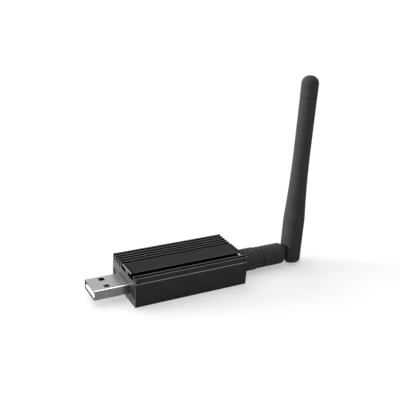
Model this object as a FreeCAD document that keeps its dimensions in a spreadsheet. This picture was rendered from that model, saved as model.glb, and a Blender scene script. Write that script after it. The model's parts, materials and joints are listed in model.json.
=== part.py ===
import FreeCAD, Part
import Sketcher
import math
import operator
import os
from types import SimpleNamespace

# USB radio stick: a finned aluminium housing with a USB-A plug at one end and, at the other, a
# threaded coaxial jack that carries a screw-on whip antenna with an elbow. Millimetres.
# The origin is the centre of the housing's flat underside, +X runs from the plug to the antenna,
# +Z is up, and the whip stands upright at rest.

doc = FreeCAD.newDocument("usb_radio_stick")
sheet = doc.addObject("Spreadsheet::Sheet", "Sizes")

# Driving dimensions, by piece
driving = {
    # housing tube, end plates and their screws
    "housing_length": 54.0,
    "end_plate_thickness": 1.5,
    "side_wall": 1.5,
    "floor_wall": 1.2,
    "deck_wall": 1.4,
    "corner_chamfer": 0.2,
    "groove_depth": 2.5,
    "fin_thickness": 0.8,
    "fin_pitch": 2.08,
    "fin_chamfer": 0.12,
    "far_groove_count": 5,
    "near_groove_width": 2.77,
    "side_groove_height": 11.0,
    "side_groove_width": 0.7,
    "side_groove_depth": 0.4,
    "screw_inset": 2.45,
    "screw_radius": 0.8,
    "screw_length": 6.0,
    "screw_tip_chamfer": 0.4,
    "screw_head_radius": 1.9,
    "screw_head_rim": 0.15,
    "screw_hole_play": 0.3,
    "recess_width": 0.45,
    "recess_span": 2.1,
    "recess_depth": 0.5,
    "port_wall": 1.2,
    "port_height": 3.8,
    # circuit board and its card slots
    "board_standoff": 2.8,
    "board_thickness": 1.2,
    "board_end_gap": 0.3,
    "slot_depth": 0.6,
    "slot_play": 0.15,
    # USB plug
    "plug_reach": 15.4,
    "plug_width": 12.0,
    "plug_thickness": 4.5,
    "plug_rise": 0.05,
    "plug_tail": 4.8,
    "plug_corner": 0.8,
    "plug_sheet": 0.3,
    "plug_play": 0.15,
    "plug_window": 2.5,
    "plug_window_setback": 5.16,
    "plug_window_spacing": 6.0,
    "plug_seam": 0.12,
    "ear_length": 2.6,
    "ear_reach": 2.0,
    "ear_inset": 0.6,
    "ear_gap": 0.3,
    "mating_depth": 11.8,
    "tongue_setback": 0.35,
    "tongue_chamfer": 0.4,
    "contact_width": 1.0,
    "contact_thickness": 0.2,
    "outer_contact_offset": 3.5,
    "inner_contact_offset": 1.0,
    "outer_contact_setback": 1.65,
    "inner_contact_setback": 2.65,
    "contact_tail": 2.2,
    # parts on the board
    "shield_length": 13.0,
    "shield_width": 11.0,
    "shield_height": 1.8,
    "shield_wall": 0.2,
    "shield_corner": 0.8,
    "shield_to_jack": 4.0,
    "radio_chip_width": 7.0,
    "radio_chip_height": 0.9,
    "crystal_length": 1.6,
    "crystal_width": 2.0,
    "crystal_height": 0.5,
    "bridge_chip_width": 5.0,
    "bridge_chip_height": 0.85,
    "bridge_chip_offset": 0.6,
    "regulator_length": 2.9,
    "regulator_width": 1.6,
    "regulator_height": 1.1,
    "regulator_pitch": 0.95,
    "regulator_lead": 0.4,
    "surge_length": 1.6,
    "surge_width": 1.2,
    "surge_height": 0.6,
    "surge_pitch": 0.5,
    "surge_lead": 0.2,
    "lead_reach": 0.6,
    "lead_stand": 0.1,
    "power_row_offset": 5.4,
    "small_part_length": 1.0,
    "small_part_width": 0.5,
    "small_part_pitch": 2.0,
    "capacitor_height": 0.5,
    "resistor_height": 0.35,
    "part_spacing": 1.3,
    # coaxial jack on the antenna end plate
    "jack_offset": -1.8,
    "jack_rise": 0.4,
    "jack_headroom": 0.8,
    "jack_thread_radius": 3.175,
    "jack_thread_chamfer": 0.4,
    "jack_reach": 9.4,
    "jack_flange_lip": 0.025,
    "jack_flange_thickness": 1.6,
    "jack_leg_length": 3.4,
    "jack_leg_width": 1.0,
    "jack_leg_height": 0.8,
    "jack_mouth_wall": 0.855,
    "jack_mouth_depth": 2.2,
    "jack_bore_step": 0.27,
    "jack_contact_radius": 0.635,
    "jack_tail_radius": 0.38,
    "jack_tail_length": 2.8,
    "washer_thickness": 0.5,
    "washer_wall": 0.87,
    "washer_split": 0.5,
    "hex_nut_thickness": 2.0,
    "hex_nut_wall": 0.775,
    "hex_nut_bevel": 0.35,
    # antenna connector and its coupling nut
    "ferrule_sleeve_wall": 0.32,
    "ferrule_flange_play": 0.225,
    "ferrule_flange_float": 0.15,
    "ferrule_flange_step": 0.8,
    "ferrule_flange_thickness": 0.8,
    "ferrule_lip_step": 0.5,
    "ferrule_lip_length": 0.7,
    "ferrule_tail_depth": 7.6,
    "connector_insulator_setback": 0.3,
    "connector_insulator_length": 5.5,
    "pin_radius": 0.45,
    "pin_nose": 0.25,
    "pin_engagement": 2.3,
    "pin_tail": 1.5,
    "socket_spare_depth": 0.7,
    "insert_wall": 0.95,
    "insert_lip": 0.8,
    "insert_setback": 0.4,
    "nut_gap": 0.5,
    "sleeve_wall": 1.08,
    "sleeve_end_wall": 2.31,
    "sleeve_neck_length": 3.5,
    "sleeve_neck_step": 0.3,
    "sleeve_bevel": 0.3,
    "rib_count": 36,
    "rib_depth": 0.28,
    "rib_groove_width": 0.46,
    # elbow
    "barrel_gap": 0.3,
    "barrel_radius": 5.0,
    "barrel_length": 12.11,
    "barrel_rim": 1.5,
    "barrel_chamfer": 0.3,
    "tongue_thickness": 3.4,
    "trunnion_radius": 1.5,
    "trunnion_reach": 3.0,
    "trunnion_end_play": 0.1,
    "fork_side_play": 0.15,
    "elbow_play": 0.2,
    "fork_cheek_reach": 3.65,
    "fork_drop": 4.1,
    # whip, with the radiating parts in it
    "whip_heel": 0.8,
    "whip_straight_length": 16.1,
    "whip_taper_length": 36.3,
    "whip_taper": 1.18,
    "whip_upper_length": 23.6,
    "whip_wall": 1.42,
    "seam_bevel": 0.15,
    "cap_ledge": 0.05,
    "cap_length": 9.3,
    "cap_dome": 3.5,
    "cap_spigot_length": 4.0,
    "cable_radius": 0.7,
    "cable_bend": 3.0,
    "cable_play": 0.1,
    "dipole_base": 16.5,
    "dipole_length": 23.5,
    "dipole_wall": 0.3,
    "dipole_end": 1.0,
    "dipole_play": 0.2,
    "radiator_radius": 0.45,
    "radiator_top_gap": 7.0,
    # clearances: pieces that only slip together, and pieces that turn or slide
    "slip": 0.02,
    "running": 0.05,
}


class Size:
    # A length that knows the expression that ties it to the sheet, and its value now.
    def __init__(self, text, now):
        self.text = text
        self.now = now

    def __add__(self, other):
        return joined(self, "+", other)

    def __radd__(self, other):
        return joined(other, "+", self)

    def __sub__(self, other):
        return joined(self, "-", other)

    def __rsub__(self, other):
        return joined(other, "-", self)

    def __mul__(self, other):
        return joined(self, "*", other)

    def __rmul__(self, other):
        return joined(other, "*", self)

    def __truediv__(self, other):
        return joined(self, "/", other)

    def __neg__(self):
        return joined(0, "-", self)

    def root(self):
        return Size("sqrt(%s)" % self.text, math.sqrt(self.now))


def as_size(value):
    return value if isinstance(value, Size) else Size("%.8g" % value, float(value))


def joined(left, sign, right):
    left = as_size(left)
    right = as_size(right)
    work = {"+": operator.add, "-": operator.sub, "*": operator.mul, "/": operator.truediv}
    return Size("(%s %s %s)" % (left.text, sign, right.text), work[sign](left.now, right.now))


for row, (alias, number) in enumerate(driving.items(), start=1):
    sheet.set("A%d" % row, alias.replace("_", " "))
    sheet.set("B%d" % row, "%.8g" % number)
    sheet.setAlias("B%d" % row, alias)
doc.recompute()
size = SimpleNamespace(**{alias: Size("Sizes." + alias, number) for alias, number in driving.items()})

subparts = []


def bind(thing, where, value):
    thing.setExpression(where, as_size(value).text)


def subpart(thing, name):
    thing.Label = name
    subparts.append(thing)
    return thing


def place(thing, across, along, up):
    bind(thing, "Placement.Base.x", across)
    bind(thing, "Placement.Base.y", along)
    bind(thing, "Placement.Base.z", up)


# Sketches and features of a body

def new_body(name):
    body = doc.addObject("PartDesign::Body", name + "_body")
    return subpart(body, name)


def origin_feature(body, role):
    return next(feature for feature in body.Origin.OriginFeatures if feature.Role == role)


def circle(across, up, radius):
    return SimpleNamespace(across=as_size(across), up=as_size(up), radius=as_size(radius))


def rectangle(left, bottom, right, top):
    return [(left, bottom), (right, bottom), (right, top), (left, top)]


def corner_of(point):
    return FreeCAD.Vector(as_size(point[0]).now, as_size(point[1]).now, 0)


# A corner is (across, up), or (across, up, radius, turn) where the next edge is an arc:
# turn is 1 for an arc that bends to the left on its way and -1 for one that bends to the right.
def edge_between(start, end):
    first = corner_of(start)
    last = corner_of(end)
    if len(start) == 2:
        return Part.LineSegment(first, last), 1, 2
    radius = as_size(start[2]).now
    turn = start[3]
    chord = last - first
    rise = math.sqrt(max(radius ** 2 - (chord.Length / 2) ** 2, 0))
    left = FreeCAD.Vector(-chord.y, chord.x, 0).normalize()
    centre = first + chord * 0.5 + left * (rise * turn)
    begin, finish = (first, last) if turn > 0 else (last, first)
    ring = Part.Circle(centre, FreeCAD.Vector(0, 0, 1), radius)
    angles = [math.atan2((p - centre).y, (p - centre).x) for p in (begin, finish)]
    arc = Part.ArcOfCircle(ring, angles[0], angles[1])
    return (arc, 1, 2) if turn > 0 else (arc, 2, 1)


def draw_outline(sketch, corners):
    first = sketch.GeometryCount
    count = len(corners)
    edges = [edge_between(corners[k], corners[(k + 1) % count]) for k in range(count)]
    sketch.addGeometry([edge[0] for edge in edges], False)
    for k in range(count):
        after = (k + 1) % count
        sketch.addConstraint(
            Sketcher.Constraint("Coincident", first + k, edges[k][2], first + after, edges[after][1]))
    for k, corner in enumerate(corners):
        spot = edges[k][1]
        for kind, value in (("DistanceX", corner[0]), ("DistanceY", corner[1])):
            held = Sketcher.Constraint(kind, -1, 1, first + k, spot, as_size(value).now)
            tie(sketch, held, value)
        if len(corner) == 4:
            tie(sketch, Sketcher.Constraint("Radius", first + k, as_size(corner[2]).now), corner[2])


def draw_circle(sketch, ring):
    here = sketch.GeometryCount
    centre = FreeCAD.Vector(ring.across.now, ring.up.now, 0)
    sketch.addGeometry(Part.Circle(centre, FreeCAD.Vector(0, 0, 1), ring.radius.now), False)
    tie(sketch, Sketcher.Constraint("DistanceX", -1, 1, here, 3, ring.across.now), ring.across)
    tie(sketch, Sketcher.Constraint("DistanceY", -1, 1, here, 3, ring.up.now), ring.up)
    tie(sketch, Sketcher.Constraint("Radius", here, ring.radius.now), ring.radius)


def tie(sketch, constraint, value):
    number = sketch.addConstraint(constraint)
    if isinstance(value, Size):
        sketch.setExpression("Constraints[%d]" % number, value.text)


def draw(body, name, role, loops, offset=0):
    sketch = body.newObject("Sketcher::SketchObject", name)
    sketch.AttachmentSupport = (origin_feature(body, role), [""])
    sketch.MapMode = "FlatFace"
    bind(sketch, "AttachmentOffset.Base.z", offset)
    for loop in loops:
        if isinstance(loop, list):
            draw_outline(sketch, loop)
        else:
            draw_circle(sketch, loop)
    return sketch


# A pad, or a pocket, runs from its sketch plane along the plane's normal, or evenly to both sides.
def swept(kind, body, sketch, length, both_sides):
    feature = body.newObject("PartDesign::" + kind, sketch.Name + "_" + kind.lower())
    feature.Profile = sketch
    bind(feature, "Length", length)
    if both_sides:
        feature.SideType = "Symmetric"
    elif kind == "Pocket":
        feature.Reversed = True
    return feature


def pad(body, sketch, length, both_sides=False):
    return swept("Pad", body, sketch, length, both_sides)


def pocket(body, sketch, length, both_sides=False):
    return swept("Pocket", body, sketch, length, both_sides)


def turned(body, name, role, corners, axis):
    sketch = draw(body, name, role, [corners])
    feature = body.newObject("PartDesign::Revolution", name + "_turned")
    feature.Profile = sketch
    feature.ReferenceAxis = (origin_feature(body, axis), [""])
    feature.Angle = 360
    return feature


def repeated(body, feature, axis, count, pitch):
    pattern = body.newObject("PartDesign::LinearPattern", feature.Name + "_row")
    pattern.Originals = [feature]
    pattern.Direction = (origin_feature(body, axis), [""])
    pattern.Reversed = True
    bind(pattern, "Occurrences", count)
    bind(pattern, "Length", pitch * (count - 1))
    body.Tip = pattern
    return pattern


def ringed(body, features, axis, count):
    pattern = body.newObject("PartDesign::PolarPattern", features[0].Name + "_ring")
    pattern.Originals = features
    pattern.Axis = (origin_feature(body, axis), [""])
    pattern.Angle = 360
    bind(pattern, "Occurrences", count)
    body.Tip = pattern
    return pattern


def rounded_edges(body, feature, name, radius, chosen):
    doc.recompute()
    edges = ["Edge%d" % (k + 1) for k, edge in enumerate(feature.Shape.Edges) if chosen(edge)]
    fillet = body.newObject("PartDesign::Fillet", name)
    fillet.Base = (feature, edges)
    bind(fillet, "Radius", radius)
    return fillet


def runs_along(axis):
    def test(edge):
        ends = [vertex.Point for vertex in edge.Vertexes]
        if len(ends) < 2:
            return False
        way = ends[1] - ends[0]
        return abs(getattr(way, axis)) > 0.999 * way.Length
    return test


# Part primitives

def block(name, corner, extent):
    box = doc.addObject("Part::Box", name)
    place(box, *corner)
    for side, value in zip(("Length", "Width", "Height"), extent):
        bind(box, side, value)
    return box


def cut_from(name, base, tool):
    result = doc.addObject("Part::Cut", name)
    result.Base = base
    result.Tool = tool
    return result


def group_of(name, pieces):
    group = doc.addObject("Part::Compound", name + "_group")
    group.Links = pieces
    return subpart(group, name)


def fused(name, pieces):
    whole = doc.addObject("Part::MultiFuse", name)
    whole.Shapes = pieces
    return whole


# Heights, from the floor up: the board sets the plug, the screws and the jack, and the jack's
# flange sets the height of the cavity.
board_bottom = size.floor_wall + size.board_standoff
board_top = board_bottom + size.board_thickness
plug_height = board_top + size.plug_rise
screw_height = board_top + size.slip * 5
jack_height = board_top + size.jack_rise
jack_flange_half = size.jack_thread_radius + size.jack_flange_lip
cavity_top = jack_height + jack_flange_half + size.jack_headroom
groove_floor = cavity_top + size.deck_wall
housing_height = groove_floor + size.groove_depth

# Widths, from the middle out: the plug's ears stop short of the screw ports, and the ports stand
# off the side walls.
port_hole = size.screw_radius + size.slip
port_face = size.plug_width / 2 + size.ear_reach + size.ear_gap
screw_offset = port_face + size.port_wall + size.screw_radius
half_width = screw_offset + size.screw_inset
cavity_side = half_width - size.side_wall
slot_back = port_face + size.slot_depth
board_edge = slot_back - size.slot_play
groove_width = size.fin_pitch - size.fin_thickness

# Lengths, from the middle of the housing
half_length = size.housing_length / 2
tube_end = half_length - size.end_plate_thickness
plug_back = -tube_end + size.plug_tail
plug_tip = -half_length - size.plug_reach
contact_end = plug_back + size.contact_tail

# Inside of the plug's shell
shell_floor = plug_height - size.plug_thickness / 2 + size.plug_sheet
shell_ceiling = plug_height + size.plug_thickness / 2 - size.plug_sheet
shell_side = size.plug_width / 2 - size.plug_sheet


# One fin groove across the end view, with chamfered fin edges at its mouth
def groove(near, width):
    far = near + width
    mouth = housing_height - size.fin_chamfer
    return [
        (near, groove_floor),
        (far, groove_floor),
        (far, mouth),
        (far + size.fin_chamfer, housing_height),
        (near - size.fin_chamfer, housing_height),
        (near, mouth),
    ]


# The end view of the housing, from start, for the tube and both of its end plates
def finned_block(name, start, length):
    body = new_body(name)
    bevel = size.corner_chamfer
    block_outline = [
        (bevel - half_width, 0),
        (half_width - bevel, 0),
        (half_width, bevel),
        (half_width, housing_height - bevel),
        (half_width - bevel, housing_height),
        (bevel - half_width, housing_height),
        (-half_width, housing_height - bevel),
        (-half_width, bevel),
    ]
    pad(body, draw(body, name + "_outline", "YZ_Plane", [block_outline], start), length)
    first_groove = half_width - size.fin_thickness - groove_width
    far_groove = draw(body, name + "_far_groove", "YZ_Plane", [groove(first_groove, groove_width)], start)
    repeated(body, pocket(body, far_groove, length), "Y_Axis", size.far_groove_count, size.fin_pitch)
    near_wall = size.fin_thickness - half_width
    near_grooves = [
        groove(near_wall, groove_width),
        groove(near_wall + size.fin_pitch, size.near_groove_width),
    ]
    pocket(body, draw(body, name + "_near_grooves", "YZ_Plane", near_grooves, start), length)
    low = size.side_groove_height
    high = low + size.side_groove_width
    inner = half_width - size.side_groove_depth
    beyond = half_width + size.side_groove_depth
    side_grooves = [rectangle(inner, low, beyond, high), rectangle(-beyond, low, -inner, high)]
    pocket(body, draw(body, name + "_side_grooves", "YZ_Plane", side_grooves, start), length)
    return body


def screw_circles(radius):
    return [circle(side * screw_offset, screw_height, radius) for side in (1, -1)]


# Housing tube: finned deck, card slots for the board and a screw port in each side wall
def make_housing_extrusion():
    name = "housing_extrusion"
    length = 2 * tube_end
    body = finned_block(name, -tube_end, length)
    port_low = screw_height - size.port_height / 2
    port_high = screw_height + size.port_height / 2
    slot_top = board_top + size.slot_play
    right = [
        (cavity_side, size.floor_wall),
        (cavity_side, port_low),
        (port_face, port_low),
        (port_face, board_bottom),
        (slot_back, board_bottom),
        (slot_back, slot_top),
        (port_face, slot_top),
        (port_face, port_high),
        (cavity_side, port_high),
        (cavity_side, cavity_top),
    ]
    left = [(-across, up) for across, up in reversed(right)]
    pocket(body, draw(body, name + "_cavity", "YZ_Plane", [right + left], -tube_end), length)
    ports = draw(body, name + "_ports", "YZ_Plane", screw_circles(port_hole), -tube_end)
    pocket(body, ports, length)


# Countersink round a screw hole, as a profile turned about the screw's axis. The head's rim and
# cone lie in it with a slip fit, flush with the plate's outer face, which is at x = way * half_length.
def countersink(body, name, way, side):
    mouth = size.screw_head_radius + size.slip
    hole = size.screw_radius + size.screw_hole_play
    cone_start = size.screw_head_rim
    cone_end = cone_start + mouth - hole
    profile = [
        (way * half_length, 0),
        (way * half_length, mouth),
        (way * (half_length - cone_start), mouth),
        (way * (half_length - cone_end), hole),
        (way * (half_length - cone_end), 0),
    ]
    sketch = draw(body, name, "XZ_Plane", [profile], side * screw_offset)
    bind(sketch, "AttachmentOffset.Base.y", screw_height)
    feature = body.newObject("PartDesign::Groove", name + "_turned")
    feature.Profile = sketch
    feature.ReferenceAxis = (sketch, ["H_Axis"])
    feature.Angle = 360


# End plates: the tube's end view, with the plug's window or the jack's hole
def make_end_plates():
    thickness = size.end_plate_thickness
    screw_holes = screw_circles(size.screw_radius + size.screw_hole_play)
    usb = finned_block("usb_end_plate", -half_length, thickness)
    half_window = size.plug_width / 2 + size.plug_play
    half_rise = size.plug_thickness / 2 + size.plug_play
    window = rectangle(-half_window, plug_height - half_rise, half_window, plug_height + half_rise)
    usb_openings = draw(usb, "usb_plate_openings", "YZ_Plane", [window] + screw_holes, -half_length)
    pocket(usb, usb_openings, thickness)
    countersink(usb, "usb_plate_near_sink", -1, 1)
    countersink(usb, "usb_plate_far_sink", -1, -1)
    antenna = finned_block("antenna_end_plate", tube_end, thickness)
    jack_hole = circle(size.jack_offset, jack_height, size.jack_thread_radius + size.running)
    openings = [jack_hole] + screw_holes
    antenna_openings = draw(antenna, "antenna_plate_openings", "YZ_Plane", openings, tube_end)
    pocket(antenna, antenna_openings, thickness)
    countersink(antenna, "antenna_plate_near_sink", 1, 1)
    countersink(antenna, "antenna_plate_far_sink", 1, -1)


# Countersunk screw along X: flat head in the plate, cross recess, shank into the port
def make_screw(name, way, side):
    body = doc.addObject("PartDesign::Body", name)
    head = size.screw_head_radius
    rim = size.screw_head_rim
    tip = size.screw_tip_chamfer
    profile = [
        (0, 0),
        (0, head),
        (-way * rim, head),
        (-way * (rim + head - size.screw_radius), size.screw_radius),
        (-way * (size.screw_length - tip), size.screw_radius),
        (-way * size.screw_length, size.screw_radius - tip),
        (-way * size.screw_length, 0),
    ]
    turned(body, name + "_profile", "XZ_Plane", profile, "X_Axis")
    half_span = size.recess_span / 2
    half_slot = size.recess_width / 2
    cross = [
        (half_span, -half_slot),
        (half_span, half_slot),
        (half_slot, half_slot),
        (half_slot, half_span),
        (-half_slot, half_span),
        (-half_slot, half_slot),
        (-half_span, half_slot),
        (-half_span, -half_slot),
        (-half_slot, -half_slot),
        (-half_slot, -half_span),
        (half_slot, -half_span),
        (half_slot, -half_slot),
    ]
    recess_start = -size.recess_depth if way > 0 else 0
    pocket(body, draw(body, name + "_recess", "YZ_Plane", [cross], recess_start), size.recess_depth)
    place(body, way * half_length, side * screw_offset, screw_height)
    return body


def make_plate_screws():
    for name, way in (("usb_plate_screws", -1), ("antenna_plate_screws", 1)):
        group_of(name, [make_screw("%s_%d" % (name, side + 2), way, side) for side in (1, -1)])


# A rectangle with rounded corners, drawn as lines and quarter arcs
def rounded_rectangle(half, low, high, radius):
    return [
        (radius - half, low),
        (half - radius, low, radius, 1),
        (half, low + radius),
        (half, high - radius, radius, 1),
        (half - radius, high),
        (radius - half, high, radius, 1),
        (-half, high - radius),
        (-half, low + radius, radius, 1),
    ]


# Plug shell: folded sheet with four latch windows, a seam below and an ear each side for the board
def make_usb_shell():
    name = "usb_shell"
    body = new_body(name)
    half = size.plug_width / 2
    low = plug_height - size.plug_thickness / 2
    high = plug_height + size.plug_thickness / 2
    length = plug_back - plug_tip
    outer = rounded_rectangle(half, low, high, size.plug_corner)
    pad(body, draw(body, name + "_outer", "YZ_Plane", [outer], plug_tip), length)
    ear_back = plug_back - size.ear_inset
    ear_front = ear_back - size.ear_length
    ear_root = half - size.plug_corner
    ear_end = half + size.ear_reach
    ears = [
        rectangle(ear_front, ear_root, ear_back, ear_end),
        rectangle(ear_front, -ear_end, ear_back, -ear_root),
    ]
    pad(body, draw(body, name + "_ears", "XY_Plane", ears, board_top), size.plug_sheet)
    inner = rounded_rectangle(shell_side, shell_floor, shell_ceiling, size.plug_corner - size.plug_sheet)
    pocket(body, draw(body, name + "_inner", "YZ_Plane", [inner], plug_tip), length)
    window_near = plug_tip + size.plug_window_setback
    window_far = window_near + size.plug_window
    inside_edge = (size.plug_window_spacing - size.plug_window) / 2
    outside_edge = inside_edge + size.plug_window
    windows = [
        rectangle(window_near, inside_edge, window_far, outside_edge),
        rectangle(window_near, -outside_edge, window_far, -inside_edge),
    ]
    pocket(body, draw(body, name + "_windows", "XY_Plane", windows, low), size.plug_thickness)
    seam = rectangle(plug_tip, -size.plug_seam / 2, plug_back, size.plug_seam / 2)
    pocket(body, draw(body, name + "_seam", "XY_Plane", [seam], low), size.plug_sheet)


# The four contacts of the plug, as offset across it and setback from its tip
contact_rows = [
    (size.outer_contact_offset, size.outer_contact_setback),
    (size.inner_contact_offset, size.inner_contact_setback),
    (-size.inner_contact_offset, size.inner_contact_setback),
    (-size.outer_contact_offset, size.outer_contact_setback),
]


# Plug insulator: a block that fills the shell's back and a tongue that stops just inside its mouth
def make_usb_insulator():
    name = "usb_insulator"
    body = new_body(name)
    tongue_tip = plug_tip + size.tongue_setback
    nose = size.tongue_chamfer
    block_front = plug_tip + size.mating_depth
    back = plug_back - size.plug_play
    low = shell_floor + size.slip
    high = shell_ceiling - size.slip
    side_view = [
        (tongue_tip, low + nose),
        (tongue_tip + nose, low),
        (back, low),
        (back, high),
        (block_front, high),
        (block_front, board_top),
        (tongue_tip + nose, board_top),
        (tongue_tip, board_top - nose),
    ]
    half = shell_side - size.slip
    side_sketch = draw(body, name + "_side_view", "XZ_Plane", [side_view])
    moulding = pad(body, side_sketch, 2 * half, both_sides=True)
    corner = size.plug_corner - size.plug_sheet + size.slip
    rounded_edges(body, moulding, name + "_corners", corner, long_side_edges(half, low, high))
    tunnels = []
    for offset, setback in contact_rows:
        left = offset - size.contact_width / 2 - size.slip
        right = offset + size.contact_width / 2 + size.slip
        tunnels.append(rectangle(left, board_top, right, board_top + size.contact_thickness + size.slip))
    tunnel_sketch = draw(body, name + "_tunnels", "YZ_Plane", tunnels, block_front)
    pocket(body, tunnel_sketch, back - block_front)


# Edges that run along X at one of the two sides and at the bottom or the top
def long_side_edges(half, low, high):
    def test(edge):
        ends = [vertex.Point for vertex in edge.Vertexes]
        middle = edge.CenterOfMass
        along = len(ends) == 2 and abs((ends[1] - ends[0]).x) > 0.999 * edge.Length
        at_side = abs(abs(middle.y) - half.now) < 0.01
        at_level = min(abs(middle.z - low.now), abs(middle.z - high.now)) < 0.01
        return along and at_side and at_level
    return test


def make_usb_contacts():
    strips = []
    for number, (offset, setback) in enumerate(contact_rows, start=1):
        start = plug_tip + setback
        corner = (start, offset - size.contact_width / 2, board_top)
        extent = (contact_end - start, size.contact_width, size.contact_thickness)
        strips.append(block("usb_contact_%d" % number, corner, extent))
    group_of("usb_contacts", strips)


# Circuit board: notched for the plug, its sides in the housing's card slots
def make_main_board():
    body = new_body("main_board")
    usb_edge = -tube_end + size.board_end_gap
    notch_back = plug_back + size.plug_play
    notch_side = size.plug_width / 2 + size.plug_play
    jack_edge = tube_end - size.jack_flange_thickness - size.board_end_gap
    outline = [
        (usb_edge, notch_side),
        (notch_back, notch_side),
        (notch_back, -notch_side),
        (usb_edge, -notch_side),
        (usb_edge, -board_edge),
        (jack_edge, -board_edge),
        (jack_edge, board_edge),
        (usb_edge, board_edge),
    ]
    sketch = draw(body, "main_board_outline", "XY_Plane", [outline], board_bottom)
    pad(body, sketch, size.board_thickness)


# A block on the board, given by the middle of its footprint
def on_board(name, across, along, extent):
    corner = (across - extent[0] / 2, along - extent[1] / 2, board_top)
    return block(name, corner, extent)


# Radio section: chip and crystal under a folded shield can, next to the jack
def make_radio_section():
    wall = size.shield_wall
    can_middle = tube_end - size.jack_flange_thickness - size.jack_leg_length
    can_middle = can_middle - size.shield_to_jack - size.shield_length / 2
    outside = (size.shield_length, size.shield_width, size.shield_height)
    inside = (size.shield_length - 2 * wall, size.shield_width - 2 * wall, size.shield_height - wall)
    shell = on_board("shield_outside", can_middle, 0, outside)
    hollow = on_board("shield_inside", can_middle, 0, inside)
    doc.recompute()
    uprights = [k for k, edge in enumerate(shell.Shape.Edges, start=1)
                if abs(edge.tangentAt(edge.FirstParameter).z) > 0.99]
    rounded = doc.addObject("Part::Fillet", "shield_rounded")
    rounded.Base = shell
    rounded.Edges = [(k, size.shield_corner.now, size.shield_corner.now) for k in uprights]
    subpart(cut_from("shield_can", rounded, hollow), "radio_shield_can")
    chip_middle = can_middle - size.crystal_length
    width = size.radio_chip_width
    chip = on_board("radio_chip_block", chip_middle, 0, (width, width, size.radio_chip_height))
    subpart(chip, "radio_chip")
    crystal_middle = chip_middle + width / 2 + size.crystal_length
    extent = (size.crystal_length, size.crystal_width, size.crystal_height)
    subpart(on_board("crystal_block", crystal_middle, size.crystal_width / 2, extent), "radio_crystal")


# Leaded chip: a moulded block on leads that stand out of both of its sides, in rows along X
def make_leaded_chip(name, across, along, extent, leads, pitch, lead_width):
    length, width, height = extent
    corner = (across - length / 2, along - width / 2, board_top + size.lead_stand)
    pieces = [block(name + "_block", corner, extent)]
    reach = width + 2 * size.lead_reach
    for number in range(leads):
        middle = across + (number - (leads - 1) / 2) * pitch
        corner = (middle - lead_width / 2, along - reach / 2, board_top)
        pieces.append(block("%s_lead_%d" % (name, number + 1), corner, (lead_width, reach, height / 2)))
    subpart(fused(name + "_whole", pieces), name)


# Power and interface parts, next to the plug
def make_interface_section():
    row = size.power_row_offset
    surge_middle = contact_end + size.part_spacing + size.surge_length / 2
    extent = (size.surge_length, size.surge_width, size.surge_height)
    make_leaded_chip("surge_protection_chip", surge_middle, row, extent, 3,
                     size.surge_pitch, size.surge_lead)
    regulator_middle = contact_end + 2 * size.part_spacing + size.regulator_length / 2
    extent = (size.regulator_length, size.regulator_width, size.regulator_height)
    make_leaded_chip("voltage_regulator", regulator_middle, -row, extent, 3,
                     size.regulator_pitch, size.regulator_lead)
    bridge_middle = contact_end + 3 * size.part_spacing + size.bridge_chip_width / 2
    width = size.bridge_chip_width
    bridge = on_board("bridge_block", bridge_middle, size.bridge_chip_offset,
                      (width, width, size.bridge_chip_height))
    subpart(bridge, "usb_bridge_chip")
    row_start = surge_middle + size.surge_length / 2 + size.part_spacing
    spots = [(row_start + number * size.small_part_pitch, row) for number in range(4)]
    row_start = regulator_middle + size.regulator_length / 2 + size.part_spacing
    spots += [(row_start + number * size.small_part_pitch, -row) for number in range(3)]
    group_of("chip_capacitors", small_parts("capacitor", spots, size.capacitor_height))
    series = bridge_middle + width / 2 + size.part_spacing
    offset = size.bridge_chip_offset
    spots = [(series, offset + number * size.part_spacing) for number in (-1, 0, 1)]
    group_of("chip_resistors", small_parts("resistor", spots, size.resistor_height))


def small_parts(name, spots, height):
    extent = (size.small_part_length, size.small_part_width, height)
    return [on_board("%s_%d" % (name, number), across, along, extent)
            for number, (across, along) in enumerate(spots, start=1)]


# The jack and the connector share one axis. Their bodies' own X runs out along it from the antenna
# end plate's outer face, and they are placed there together.
def place_on_jack(body):
    place(body, half_length, size.jack_offset, jack_height)


def turned_ring(name, sketch_name, start, end, inner, outer):
    body = new_body(name)
    turned(body, sketch_name, "XZ_Plane", rectangle(start, inner, end, outer), "X_Axis")
    place_on_jack(body)
    return body


flange_back = -size.end_plate_thickness - size.jack_flange_thickness
mating_plane = size.jack_reach - size.jack_mouth_depth
jack_mouth = size.jack_thread_radius - size.jack_mouth_wall
jack_bore = jack_mouth - size.jack_bore_step
threaded_way = size.jack_thread_radius + size.running


# Jack: threaded barrel through the plate, square flange inside it and legs above and below the board
def make_rf_jack():
    name = "rf_jack_body"
    body = new_body(name)
    half = jack_flange_half
    flange = draw(body, name + "_flange", "YZ_Plane", [rectangle(-half, -half, half, half)], flange_back)
    pad(body, flange, size.jack_flange_thickness)
    above = board_top - jack_height
    below = board_bottom - jack_height
    inner = half - size.jack_leg_width
    legs = []
    for left, right in ((inner, half), (-half, -inner)):
        legs.append(rectangle(left, above, right, above + size.jack_leg_height))
        legs.append(rectangle(left, below - size.jack_leg_height, right, below))
    leg_back = flange_back - size.jack_leg_length
    pad(body, draw(body, name + "_legs", "YZ_Plane", legs, leg_back), size.jack_leg_length)
    thread = size.jack_thread_radius
    chamfer = size.jack_thread_chamfer
    barrel = [
        (flange_back, jack_bore),
        (mating_plane, jack_bore),
        (mating_plane, jack_mouth),
        (size.jack_reach, jack_mouth),
        (size.jack_reach, thread - chamfer),
        (size.jack_reach - chamfer, thread),
        (flange_back, thread),
    ]
    turned(body, name + "_barrel", "XZ_Plane", barrel, "X_Axis")
    bore = draw(body, name + "_bore", "YZ_Plane", [circle(0, 0, jack_bore)], leg_back)
    pocket(body, bore, mating_plane - leg_back)
    place_on_jack(body)


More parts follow.
